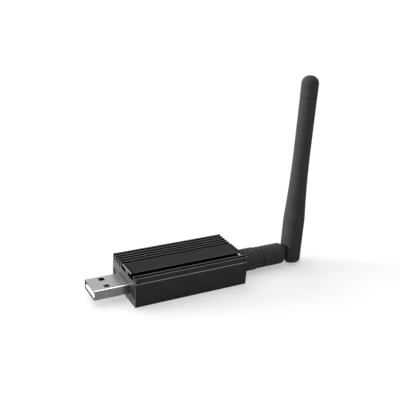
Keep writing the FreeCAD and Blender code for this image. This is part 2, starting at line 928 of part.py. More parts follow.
def make_jack_inner_pieces():
    turned_ring("rf_jack_insulator", "jack_insulator_profile", flange_back, mating_plane,
                size.jack_contact_radius + size.slip, jack_bore - size.slip)
    contact = new_body("rf_jack_contact")
    socket_bottom = mating_plane - size.pin_engagement - size.socket_spare_depth
    tail_end = flange_back - size.jack_tail_length
    profile = [
        (tail_end, 0),
        (socket_bottom, 0),
        (socket_bottom, size.pin_radius + size.running),
        (mating_plane, size.pin_radius + size.running),
        (mating_plane, size.jack_contact_radius),
        (flange_back, size.jack_contact_radius),
        (flange_back, size.jack_tail_radius),
        (tail_end, size.jack_tail_radius),
    ]
    turned(contact, "jack_contact_profile", "XZ_Plane", profile, "X_Axis")
    place_on_jack(contact)


# Split lock washer and hex nut that hold the jack to its plate
def make_jack_fasteners():
    outer = threaded_way + size.washer_wall
    washer = turned_ring("jack_lock_washer", "washer_profile", 0, size.washer_thickness, threaded_way, outer)
    split = rectangle(-size.washer_split / 2, 0, size.washer_split / 2, outer + size.washer_wall)
    pocket(washer, draw(washer, "washer_split_outline", "YZ_Plane", [split]), size.washer_thickness)
    nut = new_body("jack_hex_nut")
    start = size.washer_thickness
    end = start + size.hex_nut_thickness
    flat = threaded_way + size.hex_nut_wall
    corner = flat * (2 / math.sqrt(3))
    bevel = size.hex_nut_bevel
    blank = [
        (start, threaded_way),
        (end, threaded_way),
        (end, corner - bevel),
        (end - bevel / 2, corner),
        (start + bevel / 2, corner),
        (start, corner - bevel),
    ]
    turned(nut, "hex_nut_blank", "XZ_Plane", blank, "X_Axis")
    side = rectangle(-corner, flat, corner, 2 * flat)
    side_cut = pocket(nut, draw(nut, "hex_nut_side", "YZ_Plane", [side], start), size.hex_nut_thickness)
    ringed(nut, [side_cut], "X_Axis", 6)
    place_on_jack(nut)


# Radii and stations of the antenna connector, from the jack's own
sleeve_outer = jack_mouth - size.running
sleeve_inner = sleeve_outer - size.ferrule_sleeve_wall
flange_radius = threaded_way - size.ferrule_flange_play
tail_radius = flange_radius - size.ferrule_flange_step
tail_way = tail_radius + size.running
tail_lip_radius = tail_radius + size.ferrule_lip_step
cable_way = size.cable_radius + size.cable_play
flange_start = size.jack_reach + size.ferrule_flange_float
flange_end = flange_start + size.ferrule_flange_thickness
insulator_start = mating_plane + size.connector_insulator_setback
insulator_end = insulator_start + size.connector_insulator_length
pin_end = insulator_end + size.pin_tail
nut_lip = flange_end + size.slip
insert_start = size.washer_thickness + size.hex_nut_thickness + size.nut_gap + size.insert_setback
insert_end = nut_lip + size.insert_lip
insert_outer = threaded_way + size.insert_wall
sleeve_start = insert_start - size.insert_setback
sleeve_end = insert_end + size.slip + size.sleeve_end_wall
barrel_start = sleeve_end + size.barrel_gap
tail_end = barrel_start + size.ferrule_tail_depth


# Antenna connector: ferrule with a captive flange and a lipped tail, its insulator and centre pin
def make_connector():
    ferrule = new_body("connector_ferrule")
    lip_start = tail_end - size.ferrule_lip_length
    profile = [
        (mating_plane, sleeve_inner),
        (insulator_end, sleeve_inner),
        (insulator_end, cable_way),
        (tail_end, cable_way),
        (tail_end, tail_lip_radius),
        (lip_start, tail_lip_radius),
        (lip_start, tail_radius),
        (flange_end, tail_radius),
        (flange_end, flange_radius),
        (flange_start, flange_radius),
        (flange_start, sleeve_outer),
        (mating_plane, sleeve_outer),
    ]
    turned(ferrule, "ferrule_profile", "XZ_Plane", profile, "X_Axis")
    place_on_jack(ferrule)
    turned_ring("connector_insulator", "connector_insulator_profile", insulator_start, insulator_end,
                size.pin_radius + size.slip, sleeve_inner - size.slip)
    pin = new_body("connector_pin")
    tip = mating_plane - size.pin_engagement
    pin_profile = [
        (tip, 0),
        (pin_end, 0),
        (pin_end, size.pin_radius),
        (tip + size.pin_nose, size.pin_radius),
        (tip, size.pin_radius - size.pin_nose),
    ]
    turned(pin, "connector_pin_profile", "XZ_Plane", pin_profile, "X_Axis")
    place_on_jack(pin)


# Coupling nut: threaded insert behind the flange, in a ribbed sleeve with a stepped neck
def make_coupling_nut():
    insert = new_body("nut_insert")
    profile = [
        (insert_start, threaded_way),
        (nut_lip, threaded_way),
        (nut_lip, tail_way),
        (insert_end, tail_way),
        (insert_end, insert_outer),
        (insert_start, insert_outer),
    ]
    turned(insert, "nut_insert_profile", "XZ_Plane", profile, "X_Axis")
    place_on_jack(insert)
    sleeve = new_body("knurled_sleeve")
    seat = insert_outer + size.slip
    wide = seat + size.sleeve_wall
    neck = wide - size.sleeve_neck_step
    step = sleeve_end - size.sleeve_neck_length
    bevel = size.sleeve_bevel
    shell = [
        (sleeve_start, seat),
        (insert_end + size.slip, seat),
        (insert_end + size.slip, tail_way),
        (sleeve_end, tail_way),
        (sleeve_end, neck - bevel),
        (sleeve_end - bevel, neck),
        (step + bevel, neck),
        (step, wide),
        (sleeve_start + bevel, wide),
        (sleeve_start, wide - bevel),
    ]
    turned(sleeve, "knurled_sleeve_profile", "XZ_Plane", shell, "X_Axis")
    wide_cut = rib_cut(sleeve, "wide_rib_valley", wide, sleeve_start, step + bevel)
    neck_cut = rib_cut(sleeve, "neck_rib_valley", neck, step + bevel, sleeve_end - 2 * bevel)
    ringed(sleeve, [wide_cut, neck_cut], "X_Axis", size.rib_count)
    place_on_jack(sleeve)


# One lengthwise valley between two ribs, narrower at its floor
def rib_cut(sleeve, name, radius, start, end):
    half_mouth = size.rib_groove_width / 2
    floor = radius - size.rib_depth
    valley = [
        (-half_mouth / 2, floor),
        (half_mouth / 2, floor),
        (half_mouth, radius),
        (half_mouth, radius + size.rib_depth),
        (-half_mouth, radius + size.rib_depth),
        (-half_mouth, radius),
    ]
    return pocket(sleeve, draw(sleeve, name, "YZ_Plane", [valley], start), end - start)


# The elbow's pieces have their own origin on the hinge axis, which runs along Y. The barrel stops
# clear of the circle that the fork's corners sweep.
fork_sweep = (size.fork_cheek_reach * size.fork_cheek_reach + size.fork_drop * size.fork_drop).root()
barrel_end = fork_sweep + size.elbow_play
elbow_reach = barrel_start + size.barrel_length + barrel_end
tongue_radius = size.barrel_radius - size.barrel_rim


def place_on_elbow(body):
    place(body, half_length + elbow_reach, size.jack_offset, jack_height)


# Antenna base: smooth barrel on the ferrule's tail, with a tongue and two trunnions at the elbow
def make_elbow_base():
    name = "elbow_base"
    body = new_body(name)
    start = barrel_start - elbow_reach
    lip_near = tail_end - size.ferrule_lip_length - size.running - elbow_reach
    lip_far = tail_end + size.running - elbow_reach
    lip_way = tail_lip_radius + size.running
    radius = size.barrel_radius
    chamfer = size.barrel_chamfer
    profile = [
        (start, tail_way),
        (lip_near, tail_way),
        (lip_near, lip_way),
        (lip_far, lip_way),
        (lip_far, cable_way),
        (-barrel_end, cable_way),
        (-barrel_end, tongue_radius, size.barrel_rim, 1),
        (-barrel_end - size.barrel_rim, radius),
        (start + chamfer, radius),
        (start, radius - chamfer),
    ]
    turned(body, name + "_barrel", "XZ_Plane", profile, "X_Axis")
    root = -barrel_end - size.barrel_rim / 2
    tongue = [
        (root, tongue_radius),
        (0, tongue_radius, tongue_radius, -1),
        (tongue_radius, 0, tongue_radius, -1),
        (0, -tongue_radius),
        (root, -tongue_radius),
    ]
    pad(body, draw(body, name + "_tongue", "XZ_Plane", [tongue]), size.tongue_thickness, both_sides=True)
    trunnion = draw(body, name + "_trunnions", "XZ_Plane", [circle(0, 0, size.trunnion_radius)])
    pad(body, trunnion, 2 * size.trunnion_reach, both_sides=True)
    bend_start = -size.cable_bend - cable_way
    beyond = tongue_radius + cable_way
    channel = [
        (root, -cable_way),
        (beyond, -cable_way),
        (beyond, beyond),
        (bend_start, beyond),
        (bend_start, cable_way),
        (root, cable_way),
    ]
    pocket(body, draw(body, name + "_channel", "XZ_Plane", [channel]), 2 * cable_way, both_sides=True)
    place_on_elbow(body)


# Stations and radii of the whip, up from the hinge axis
taper_start = size.whip_straight_length
taper_end = taper_start + size.whip_taper_length
seam = taper_end + size.whip_upper_length
whip_top_radius = size.barrel_radius - size.whip_taper
whip_bore = whip_top_radius - size.whip_wall
fork_shoulder = size.barrel_radius + size.barrel_gap
spigot_bottom = seam - size.cap_spigot_length
cable_top = size.dipole_base + size.dipole_length


# Whip: a fork that straddles the tongue, running up into a tapered tube
def make_whip_sheath():
    name = "whip_sheath"
    body = new_body(name)
    foot = -size.fork_drop
    radius = size.barrel_radius
    heel = size.whip_heel
    length = size.whip_taper_length
    taper_arc = (length * length + size.whip_taper * size.whip_taper) / (2 * size.whip_taper)
    profile = [
        (cable_way, foot),
        (radius - heel, foot, heel, 1),
        (radius, foot + heel),
        (radius, taper_start, taper_arc, -1),
        (whip_top_radius, taper_end),
        (whip_top_radius, seam - size.seam_bevel),
        (whip_top_radius - size.seam_bevel, seam),
        (whip_bore, seam),
        (whip_bore, fork_shoulder),
        (cable_way, fork_shoulder),
    ]
    turned(body, name + "_profile", "XZ_Plane", profile, "Z_Axis")
    beyond = 2 * radius
    cheek = rectangle(-beyond, -beyond, -size.fork_cheek_reach, fork_shoulder)
    pocket(body, draw(body, name + "_cheek_cut", "XZ_Plane", [cheek]), 2 * beyond, both_sides=True)
    reach = tongue_radius + size.elbow_play
    slot = [
        (-beyond, reach),
        (0, reach, reach, -1),
        (reach, 0),
        (reach, -beyond),
        (-beyond, -beyond),
    ]
    slot_width = size.tongue_thickness + 2 * size.fork_side_play
    pocket(body, draw(body, name + "_slot", "XZ_Plane", [slot]), slot_width, both_sides=True)
    bearing = circle(0, 0, size.trunnion_radius + size.running)
    bearing_span = 2 * (size.trunnion_reach + size.trunnion_end_play)
    pocket(body, draw(body, name + "_bearings", "XZ_Plane", [bearing]), bearing_span, both_sides=True)
    place_on_elbow(body)


def make_whip_tip_cap():
    body = new_body("whip_tip_cap")
    radius = whip_top_radius + size.cap_ledge
    spigot = whip_bore - size.slip
    top = seam + size.cap_length
    dome = size.cap_dome
    profile = [
        (0, spigot_bottom),
        (spigot, spigot_bottom),
        (spigot, seam),
        (radius - size.seam_bevel, seam),
        (radius, seam + size.seam_bevel),
        (radius, top - dome, dome, 1),
        (radius - dome, top),
        (0, top),
    ]
    turned(body, "whip_tip_cap_profile", "XZ_Plane", profile, "Z_Axis")
    place_on_elbow(body)


# Radiating parts inside the whip: a sleeve over the cable and a wire that goes on from its end
def make_radiator():
    sleeve = new_body("dipole_sleeve")
    outer = whip_bore - size.dipole_play
    inner = outer - size.dipole_wall
    hole = size.cable_radius + size.slip
    profile = [
        (inner, size.dipole_base),
        (outer, size.dipole_base),
        (outer, cable_top),
        (hole, cable_top),
        (hole, cable_top - size.dipole_end),
        (inner, cable_top - size.dipole_end),
    ]
    turned(sleeve, "dipole_sleeve_profile", "XZ_Plane", profile, "Z_Axis")
    place_on_elbow(sleeve)
    wire = new_body("radiator_wire")
    wire_outline = rectangle(0, cable_top, size.radiator_radius, spigot_bottom - size.radiator_top_gap)
    turned(wire, "radiator_wire_profile", "XZ_Plane", wire_outline, "Z_Axis")
    place_on_elbow(wire)


# The cable runs straight out of the connector, bends up round the hinge axis and runs up the whip:
# its round section is swept along two lines and the quarter circle that joins them.
def make_antenna_cable():
    bend = size.cable_bend.now
    halfway = bend * (1 - math.sqrt(0.5))
    start = FreeCAD.Vector((pin_end - elbow_reach).now, 0, 0)
    bend_start = FreeCAD.Vector(-bend, 0, 0)
    bend_middle = FreeCAD.Vector(-halfway, 0, halfway)
    bend_end = FreeCAD.Vector(0, 0, bend)
    top = FreeCAD.Vector(0, 0, cable_top.now)
    path = Part.Wire([
        Part.LineSegment(start, bend_start).toShape(),
        Part.Arc(bend_start, bend_middle, bend_end).toShape(),
        Part.LineSegment(bend_end, top).toShape(),
    ])
    section = Part.Wire(Part.makeCircle(size.cable_radius.now, start, FreeCAD.Vector(1, 0, 0)))
    cable = doc.addObject("Part::Feature", "antenna_cable_run")
    cable.Shape = path.makePipeShell([section], True, False)
    place_on_elbow(cable)
    subpart(cable, "antenna_cable")
    expected = math.pi * size.cable_radius.now ** 2 * path.Length
    print("antenna_cable bend radius %.2f mm" % bend)
    print("antenna_cable volume %.3f mm3, section times length %.3f mm3" % (cable.Shape.Volume, expected))


make_housing_extrusion()
make_end_plates()
make_plate_screws()
make_usb_shell()
make_usb_insulator()
make_usb_contacts()
make_main_board()
make_radio_section()
make_interface_section()
make_rf_jack()
make_jack_inner_pieces()
make_jack_fasteners()
make_connector()
make_coupling_nut()
make_elbow_base()
make_whip_sheath()
make_whip_tip_cap()
make_radiator()
make_antenna_cable()
doc.recompute()

for thing in doc.Objects:
    if "Invalid" in thing.State or "Error" in thing.State:
        raise RuntimeError("%s did not build: %s" % (thing.Label, thing.State))
for thing in subparts:
    if thing.Shape.isNull() or not thing.Shape.isValid() or thing.Shape.Volume <= 0:
        raise RuntimeError("%s has no valid solid" % thing.Label)

os.makedirs("parts", exist_ok=True)
for thing in subparts:
    thing.Shape.exportStep(os.path.join("parts", thing.Label + ".step"))
    print("%-24s %2d solids %9.2f mm3" % (thing.Label, len(thing.Shape.Solids), thing.Shape.Volume))
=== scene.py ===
import json
import math

import bmesh
import bpy
from mathutils import Matrix, Vector


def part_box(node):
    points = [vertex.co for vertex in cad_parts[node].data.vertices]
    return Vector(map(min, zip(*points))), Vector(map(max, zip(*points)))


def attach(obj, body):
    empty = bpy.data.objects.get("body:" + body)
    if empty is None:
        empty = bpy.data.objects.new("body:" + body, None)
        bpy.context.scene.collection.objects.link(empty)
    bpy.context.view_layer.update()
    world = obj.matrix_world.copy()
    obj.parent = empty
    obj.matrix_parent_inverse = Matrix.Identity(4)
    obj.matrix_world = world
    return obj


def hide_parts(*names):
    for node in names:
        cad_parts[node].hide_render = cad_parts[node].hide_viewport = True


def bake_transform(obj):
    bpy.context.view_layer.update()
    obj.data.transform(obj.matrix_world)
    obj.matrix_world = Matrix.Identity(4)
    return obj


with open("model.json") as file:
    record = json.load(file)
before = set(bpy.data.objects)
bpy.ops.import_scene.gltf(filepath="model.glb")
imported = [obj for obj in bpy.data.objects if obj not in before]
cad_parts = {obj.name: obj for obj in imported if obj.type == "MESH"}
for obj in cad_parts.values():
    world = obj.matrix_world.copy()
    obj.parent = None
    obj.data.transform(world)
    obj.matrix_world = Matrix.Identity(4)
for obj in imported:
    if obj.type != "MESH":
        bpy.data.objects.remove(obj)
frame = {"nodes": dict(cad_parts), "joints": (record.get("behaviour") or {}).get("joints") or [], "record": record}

print("frame loaded")
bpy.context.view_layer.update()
mm = 0.001
sidesRound = 96           # corners of a round piece that shows
sidesSmall = 48           # corners of a small round piece or hole
touch = 0.01 * mm         # play when a test asks whether something lies in a plane
weldReach = 0.001 * mm    # points nearer than this are one
sliver = 0.006 * mm       # the same after a boolean
broadSliver = 0.045 * mm  # the same before a bevel, which a short edge would stop
flatWithin = math.radians(0.05)  # faces that turn less than this are in one plane
joints = {joint["name"]: Vector(joint["pos_m"]) for joint in frame["joints"] if "pos_m" in joint}
hinge = joints["elbow_tilt"]
jackCentre = Vector((0, joints["nut_turn"].y, joints["nut_turn"].z))


# Where the camera stood: turned left of the stick, looking a little down
camera = {
    "azimuth": -29.55,
    "elevation": 22.43,
    "roll": 3.56,
    "sightLength": 293.79 * mm,
    "aimRight": 32.95 * mm,
    "aimUp": 40.44 * mm,
    "lens": 61.28,
    "sensor": 36.0,
    "nearest": 10 * mm,
}


def placeCamera():
    side = math.radians(camera["azimuth"])
    rise = math.radians(camera["elevation"])
    roll = math.radians(camera["roll"])
    back = Vector((math.sin(side) * math.cos(rise), -math.cos(side) * math.cos(rise), math.sin(rise)))
    level = Vector((math.cos(side), math.sin(side), 0))
    upright = back.cross(level)
    right = level * math.cos(roll) + upright * math.sin(roll)
    up = upright * math.cos(roll) - level * math.sin(roll)
    plugFace = Vector((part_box("usb_end_plate")[0].x, 0, 0))  # the sight lengths count from here
    eye = plugFace + right * camera["aimRight"] + up * camera["aimUp"] + back * camera["sightLength"]
    bpy.ops.object.camera_add()
    eyeObject = bpy.context.object
    eyeObject.name = "camera"
    eyeObject.matrix_world = Matrix.Translation(eye) @ Matrix((right, up, back)).transposed().to_4x4()
    eyeObject.data.sensor_width = camera["sensor"]
    eyeObject.data.lens = camera["lens"]
    eyeObject.data.clip_start = camera["nearest"]
    bpy.context.scene.camera = eyeObject
    print("camera placed")


# Selecting and finishing

def deselect():
    if bpy.context.object and bpy.context.object.mode != "OBJECT":
        bpy.ops.object.mode_set(mode="OBJECT")
    bpy.ops.object.select_all(action="DESELECT")


def choose(piece):
    deselect()
    piece.select_set(True)
    bpy.context.view_layer.objects.active = piece


def startEdit(piece, kind="FACE"):
    choose(piece)
    bpy.ops.object.mode_set(mode="EDIT")
    bpy.ops.mesh.select_mode(type=kind)
    bpy.ops.mesh.select_all(action="SELECT")


def endEdit():
    bpy.ops.object.mode_set(mode="OBJECT")


# Selects the vertices, edges or faces for which the test holds
def pick(piece, kind, test):
    bpy.ops.mesh.select_all(action="DESELECT")
    shape = bmesh.from_edit_mesh(piece.data)
    for part in getattr(shape, kind):
        if test(part):
            part.select_set(True)
    shape.select_flush_mode()
    bmesh.update_edit_mesh(piece.data)


def applied(piece, kind, **settings):
    choose(piece)
    modifier = piece.modifiers.new(kind.lower(), kind)
    for setting, value in settings.items():
        setattr(modifier, setting, value)
    bpy.ops.object.modifier_apply(modifier=modifier.name)


# Merges points that all but coincide, and faces in one plane
def tidyMesh(piece, reach):
    startEdit(piece)
    bpy.ops.mesh.remove_doubles(threshold=reach)
    bpy.ops.mesh.dissolve_degenerate(threshold=reach / 10)
    bpy.ops.mesh.select_all(action="SELECT")
    bpy.ops.mesh.dissolve_limited(angle_limit=flatWithin)
    endEdit()


def softEdges(piece, width, angle=40, segments=2, paint=-1):
    tidyMesh(piece, broadSliver)
    applied(piece, "BEVEL", width=width, segments=segments, limit_method="ANGLE",
            angle_limit=math.radians(angle), use_clamp_overlap=True, material=paint)


def fixPlace(piece):
    choose(piece)
    bpy.ops.object.transform_apply(location=True, rotation=True, scale=True)


def cut(piece, *cutters, how="DIFFERENCE"):
    for cutter in cutters:
        applied(piece, "BOOLEAN", operation=how, solver="EXACT", object=cutter)
        bpy.data.objects.remove(cutter)


def joined(piece, *others):
    choose(piece)
    for other in others:
        other.select_set(True)
    bpy.ops.object.join()
    return piece


def paint(piece, *names):
    for name in names:
        piece.data.materials.append(finishes[name])


# Chamfers the chosen edges, and gives the new faces the finish in the given slot
def chamfer(piece, width, slot, test):
    startEdit(piece, "EDGE")
    pick(piece, "edges", test)
    bpy.ops.mesh.bevel(offset=width, segments=1, material=slot)
    endEdit()


# Gives the chosen faces the finish in the given slot
def paintFaces(piece, slot, test):
    startEdit(piece)
    pick(piece, "faces", test)
    piece.active_material_index = slot
    bpy.ops.object.material_slot_assign()
    endEdit()


def settle(piece, name, body, slot, *nodes, angle=35):
    fixPlace(piece)
    bpy.ops.object.shade_smooth_by_angle(angle=math.radians(angle))
    applied(piece, "WEIGHTED_NORMAL", keep_sharp=True)
    piece.name = name
    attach(piece, body)
    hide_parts(*nodes)
    print("piece", name, len(piece.data.polygons), "faces")


# Starting shapes

def addBlock(low, high):
    low = Vector(low)
    high = Vector(high)
    bpy.ops.mesh.primitive_cube_add(size=1, location=(low + high) / 2)
    block = bpy.context.object
    block.scale = high - low
    fixPlace(block)
    return block


# A bar along X whose four long edges are rounded
def addRoundedBar(low, high, corner, segments=8):
    bar = addBlock(low, high)
    length = abs(high[0] - low[0])
    startEdit(bar, "EDGE")
    pick(bar, "edges", lambda edge: abs((edge.verts[0].co - edge.verts[1].co).x) > length / 2)
    bpy.ops.mesh.bevel(offset=corner, segments=segments)
    endEdit()
    return bar


# Rotations that lay a rod or a circle, made along Z, along the named axis
turnTo = {"X": (0, math.pi / 2, 0), "Y": (math.pi / 2, 0, 0), "Z": (0, 0, 0)}


def addRod(middle, radius, length, axis, sides=64):
    bpy.ops.mesh.primitive_cylinder_add(vertices=sides, radius=radius, depth=length,
                                        location=middle, rotation=turnTo[axis])
    rod = bpy.context.object
    fixPlace(rod)
    return rod


# A turned piece: a circle is extruded from station to station and resized at each one. A station is
# a place along the axis and a radius. A tube's stations come back to the first, and a solid's don't.
def turned(centre, axis, stations, sides=sidesRound):
    along = {"X": Vector((1, 0, 0)), "Z": Vector((0, 0, 1))}[axis]
    centre = Vector(centre)
    solid = stations[0] != stations[-1]
    fill = "NGON" if solid else "NOTHING"
    place, radius = stations[0]
    bpy.ops.mesh.primitive_circle_add(vertices=sides, radius=radius, fill_type=fill,
                                      location=centre + along * place, rotation=turnTo[axis])
    piece = bpy.context.object
    fixPlace(piece)
    startEdit(piece, "EDGE")
    for nextPlace, nextRadius in stations[1:]:
        bpy.ops.mesh.extrude_edges_move(TRANSFORM_OT_translate={"value": along * (nextPlace - place)})
        grow = nextRadius / radius
        across = [1 if part else grow for part in along]
        bpy.ops.transform.resize(value=across, center_override=centre + along * nextPlace)
        place = nextPlace
        radius = nextRadius
    if solid:
        bpy.ops.mesh.edge_face_add()
    bpy.ops.mesh.select_all(action="SELECT")
    bpy.ops.mesh.remove_doubles(threshold=weldReach)
    bpy.ops.mesh.normals_make_consistent(inside=False)
    endEdit()
    return piece


# Stations along an arc, from one angle to another, in the plane of place and radius
def arcOf(place, radius, size, startAngle, endAngle, steps=6):
    stations = []
    for step in range(steps + 1):
        angle = math.radians(startAngle + (endAngle - startAngle) * step / steps)
        stations.append((place + size * math.cos(angle), radius + size * math.sin(angle)))
    return stations


# Finishes

class Wire:
    # a value that changes over the surface, with the sums that may be done with it
    def __init__(self, finish, socket):
        self.finish = finish
        self.socket = socket

    def __add__(self, other):
        return self.finish.maths("ADD", self, other)

    def __sub__(self, other):
        return self.finish.maths("SUBTRACT", self, other)

    def __rsub__(self, other):
        return self.finish.maths("SUBTRACT", other, self)

    def __mul__(self, other):
        return self.finish.maths("MULTIPLY", self, other)

    __radd__ = __add__
    __rmul__ = __mul__


class Finish:
    # a material whose nodes are written as expressions
    def __init__(self, name):
        self.material = bpy.data.materials.new(name)
        self.material.use_nodes = True
        self.tree = self.material.node_tree
        self.shader = self.tree.nodes["Principled BSDF"]
        self.place = self.node("ShaderNodeTexCoord").out("Object")

    def node(self, kind, settings=None, **sockets):
        made = self.tree.nodes.new(kind)
        for setting, value in (settings or {}).items():
            setattr(made, setting, value)
        self.found = made
        for title, value in sockets.items():
            self.fill(made.inputs[title.replace("_", " ")], value)
        return self

    def out(self, title=0):
        return Wire(self, self.found.outputs[title])

    def fill(self, socket, value):
        if isinstance(value, Wire):
            self.tree.links.new(value.socket, socket)
        elif isinstance(value, tuple) and socket.type == "RGBA":
            socket.default_value = (*value, 1)
        else:
            socket.default_value = value

    def maths(self, operation, first, second):
        made = self.tree.nodes.new("ShaderNodeMath")
        made.operation = operation
        self.fill(made.inputs[0], first)
        self.fill(made.inputs[1], second)
        return Wire(self, made.outputs[0])

    # object coordinates with each axis multiplied by a share, so that a pattern runs along one axis
    def stretched(self, shares):
        return self.node("ShaderNodeMapping", Vector=self.place, Scale=shares).out()

    def noise(self, size, detail=3.0, rough=0.5, place=None):
        return self.node("ShaderNodeTexNoise", Vector=place or self.place, Scale=1 / size,
                         Detail=detail, Roughness=rough).out("Fac")

    # 0 below low, 1 above high, and an even rise between them
    def ramp(self, value, low, high):
        return self.node("ShaderNodeMapRange", {"clamp": True}, Value=value, From_Min=low,
                         From_Max=high).out()

    def mixed(self, share, first, second):
        made = self.tree.nodes.new("ShaderNodeMix")
        made.data_type = "RGBA"
        self.fill(made.inputs["Factor"], share)
        self.fill(made.inputs[6], first)
        self.fill(made.inputs[7], second)
        return Wire(self, made.outputs[2])

    def bump(self, height, depth, strength=1.0):
        self.node("ShaderNodeBump", Strength=strength, Distance=depth, Height=height)
        self.fill(self.shader.inputs["Normal"], self.out("Normal"))

    def shade(self, **sockets):
        for title, value in sockets.items():
            self.fill(self.shader.inputs[title.replace("_", " ")], value)
        return self.material


# Anodised aluminium: drawn lines along the extrusion, a fine blasted grain and faint handling marks
def anodised(name, base, worn, roughness, metallic, specular):
    finish = Finish(name)
    drawn = finish.noise(0.3 * mm, 4, 0.6, finish.stretched((0.02, 1, 1)))
    grain = finish.noise(0.12 * mm, 2)
    marks = finish.ramp(finish.noise(9 * mm, 2), 0.35, 0.75)
    finish.bump(drawn * 0.6 + grain * 0.4, 0.01 * mm, 0.5)
    return finish.shade(Base_Color=finish.mixed(marks * 0.6, base, worn), Metallic=metallic,
                        Specular_IOR_Level=specular,
                        Roughness=roughness + (drawn - 0.5) * 0.12 + (grain - 0.5) * 0.08)


def blackenedSteel():
    finish = Finish("blackenedSteel")
    wear = finish.ramp(finish.noise(0.5 * mm, 4), 0.55, 0.8)
    finish.bump(finish.noise(0.15 * mm), 0.01 * mm, 0.4)
    return finish.shade(Base_Color=finish.mixed(wear, (0.025, 0.025, 0.025), (0.07, 0.07, 0.07)),
                        Metallic=0.8, Specular_IOR_Level=0.2, Roughness=0.4 + wear * 0.1)


# Rolled sheet, nickel plated: fine lines along the sheet and a clouded sheen
def plugSteel(name, base, dull):
    finish = Finish(name)
    rolled = finish.noise(0.18 * mm, 5, 0.6, finish.stretched((0.04, 1, 1)))
    cloud = finish.ramp(finish.noise(3 * mm, 3), 0.3, 0.8)
    finish.bump(rolled, 0.006 * mm, 0.5)
    return finish.shade(Base_Color=finish.mixed(cloud, base, dull), Metallic=1.0,
                        Roughness=0.22 + rolled * 0.12)


def brightMetal(name, base, dull, roughness):
    finish = Finish(name)
    turnedLines = finish.noise(0.12 * mm, 3, 0.5, finish.stretched((1, 0.1, 0.1)))
    cloud = finish.noise(1.5 * mm, 3)
    finish.bump(turnedLines, 0.004 * mm, 0.4)
    return finish.shade(Base_Color=finish.mixed(finish.ramp(cloud, 0.35, 0.75), base, dull), Metallic=1.0,
                        Roughness=roughness + cloud * 0.1)


def moulded(name, base, pale, roughness, specular=0.5):
    finish = Finish(name)
    spark = finish.noise(0.16 * mm, 3, 0.55)
    cloud = finish.ramp(finish.noise(6 * mm, 2), 0.3, 0.8)
    finish.bump(spark, 0.012 * mm, 0.6)
    return finish.shade(Base_Color=finish.mixed(cloud, base, pale), Specular_IOR_Level=specular,
                        Roughness=roughness + (spark - 0.5) * 0.15)


# Solder resist over copper tracks, which show as bands a shade lighter and a little raised
def boardLaminate():
    finish = Finish("boardLaminate")
    bands = finish.node("ShaderNodeTexWave", {"bands_direction": "DIAGONAL"}, Vector=finish.place,
                        Scale=0.35 / mm, Distortion=0.0).out("Fac")
    tracks = finish.ramp(bands * (0.6 + finish.noise(4 * mm, 1)), 0.62, 0.68)
    finish.bump(tracks, 0.03 * mm, 0.6)
    return finish.shade(Base_Color=finish.mixed(tracks, (0.006, 0.045, 0.02), (0.012, 0.085, 0.038)),
                        Roughness=0.35)


finishes = {
    "black_anodised": anodised(
        "blackAnodised", (0.045, 0.045, 0.0455), (0.051, 0.051, 0.0515), 0.42, 0.0, 0.03),
    # the panel's copy, painted darker as shade
    "anodised_panel": anodised(
        "anodisedPanel", (0.018, 0.018, 0.0185), (0.023, 0.023, 0.0235), 0.42, 0.0, 0.03),
    # the bevels' copy, lighter and shinier as a painted highlight
    "anodised_edge": anodised(
        "anodisedEdge", (0.08, 0.08, 0.081), (0.13, 0.13, 0.131), 0.3, 0.6, 0.5),
    # the lip's copy, bright as a painted highlight
    "anodised_bare": anodised(
        "anodisedBare", (0.23, 0.23, 0.231), (0.29, 0.29, 0.291), 0.3, 0.8, 0.5),
    # near black, as painted shade in grooves and countersinks
    "anodised_groove": anodised(
        "anodisedGroove", (0.005, 0.005, 0.005), (0.007, 0.007, 0.007), 0.6, 0.0, 0.01),
    "plate_anodised": anodised(
        "plateAnodised", (0.085, 0.085, 0.086), (0.11, 0.11, 0.111), 0.3, 0.9, 0.5),
    "blackened_steel": blackenedSteel(),
    "plug_steel": plugSteel("plugSteel", (0.38, 0.38, 0.38), (0.33, 0.33, 0.332)),
    # near white, as a painted highlight on the bends
    "plug_bend": plugSteel("plugBend", (0.95, 0.95, 0.95), (0.85, 0.85, 0.85)),
    # darker, as painted shade on the flanks
    "plug_flank": plugSteel("plugFlank", (0.18, 0.18, 0.181), (0.15, 0.15, 0.151)),
    # darker still, as painted shade inside the shell
    "plug_inside": plugSteel("plugInside", (0.09, 0.09, 0.09), (0.07, 0.07, 0.07)),
    "white_nylon": moulded("whiteNylon", (0.8, 0.8, 0.78), (0.84, 0.84, 0.82), 0.45),
    "gold_plate": brightMetal("goldPlate", (0.5, 0.42, 0.28), (0.4, 0.34, 0.23), 0.24),
    "board_laminate": boardLaminate(),
    "chip_epoxy": moulded("chipEpoxy", (0.016, 0.016, 0.017), (0.022, 0.022, 0.023), 0.6),
    "shield_tinplate": brightMetal("shieldTinplate", (0.66, 0.66, 0.67), (0.58, 0.58, 0.6), 0.3),
    "capacitor_ceramic": moulded("capacitorCeramic", (0.42, 0.29, 0.17), (0.5, 0.36, 0.22), 0.4),
    "resistor_ceramic": moulded("resistorCeramic", (0.02, 0.02, 0.02), (0.03, 0.03, 0.03), 0.3),
    "white_fluoropolymer": moulded("whiteFluoropolymer", (0.85, 0.85, 0.84), (0.88, 0.88, 0.87), 0.5),
    "nickel_plate": brightMetal("nickelPlate", (0.46, 0.45, 0.43), (0.36, 0.35, 0.34), 0.22),
    "black_polymer": moulded("blackPolymer", (0.054, 0.054, 0.055), (0.061, 0.061, 0.062), 0.7, 0.03),
    # paler, as a painted highlight on the rib crowns
    "polymer_crown": moulded("polymerCrown", (0.1, 0.1, 0.101), (0.115, 0.115, 0.116), 0.6, 0.1),
    # near black, as painted shade in the rib valleys and the tip's seam
    "polymer_valley": moulded("polymerValley", (0.007, 0.007, 0.007), (0.01, 0.01, 0.01), 0.8, 0.01),
    "cable_jacket": moulded("cableJacket", (0.12, 0.07, 0.035), (0.15, 0.09, 0.045), 0.4),
    "bare_brass": brightMetal("bareBrass", (0.7, 0.5, 0.22), (0.6, 0.42, 0.18), 0.28),
}
print("finishes made")


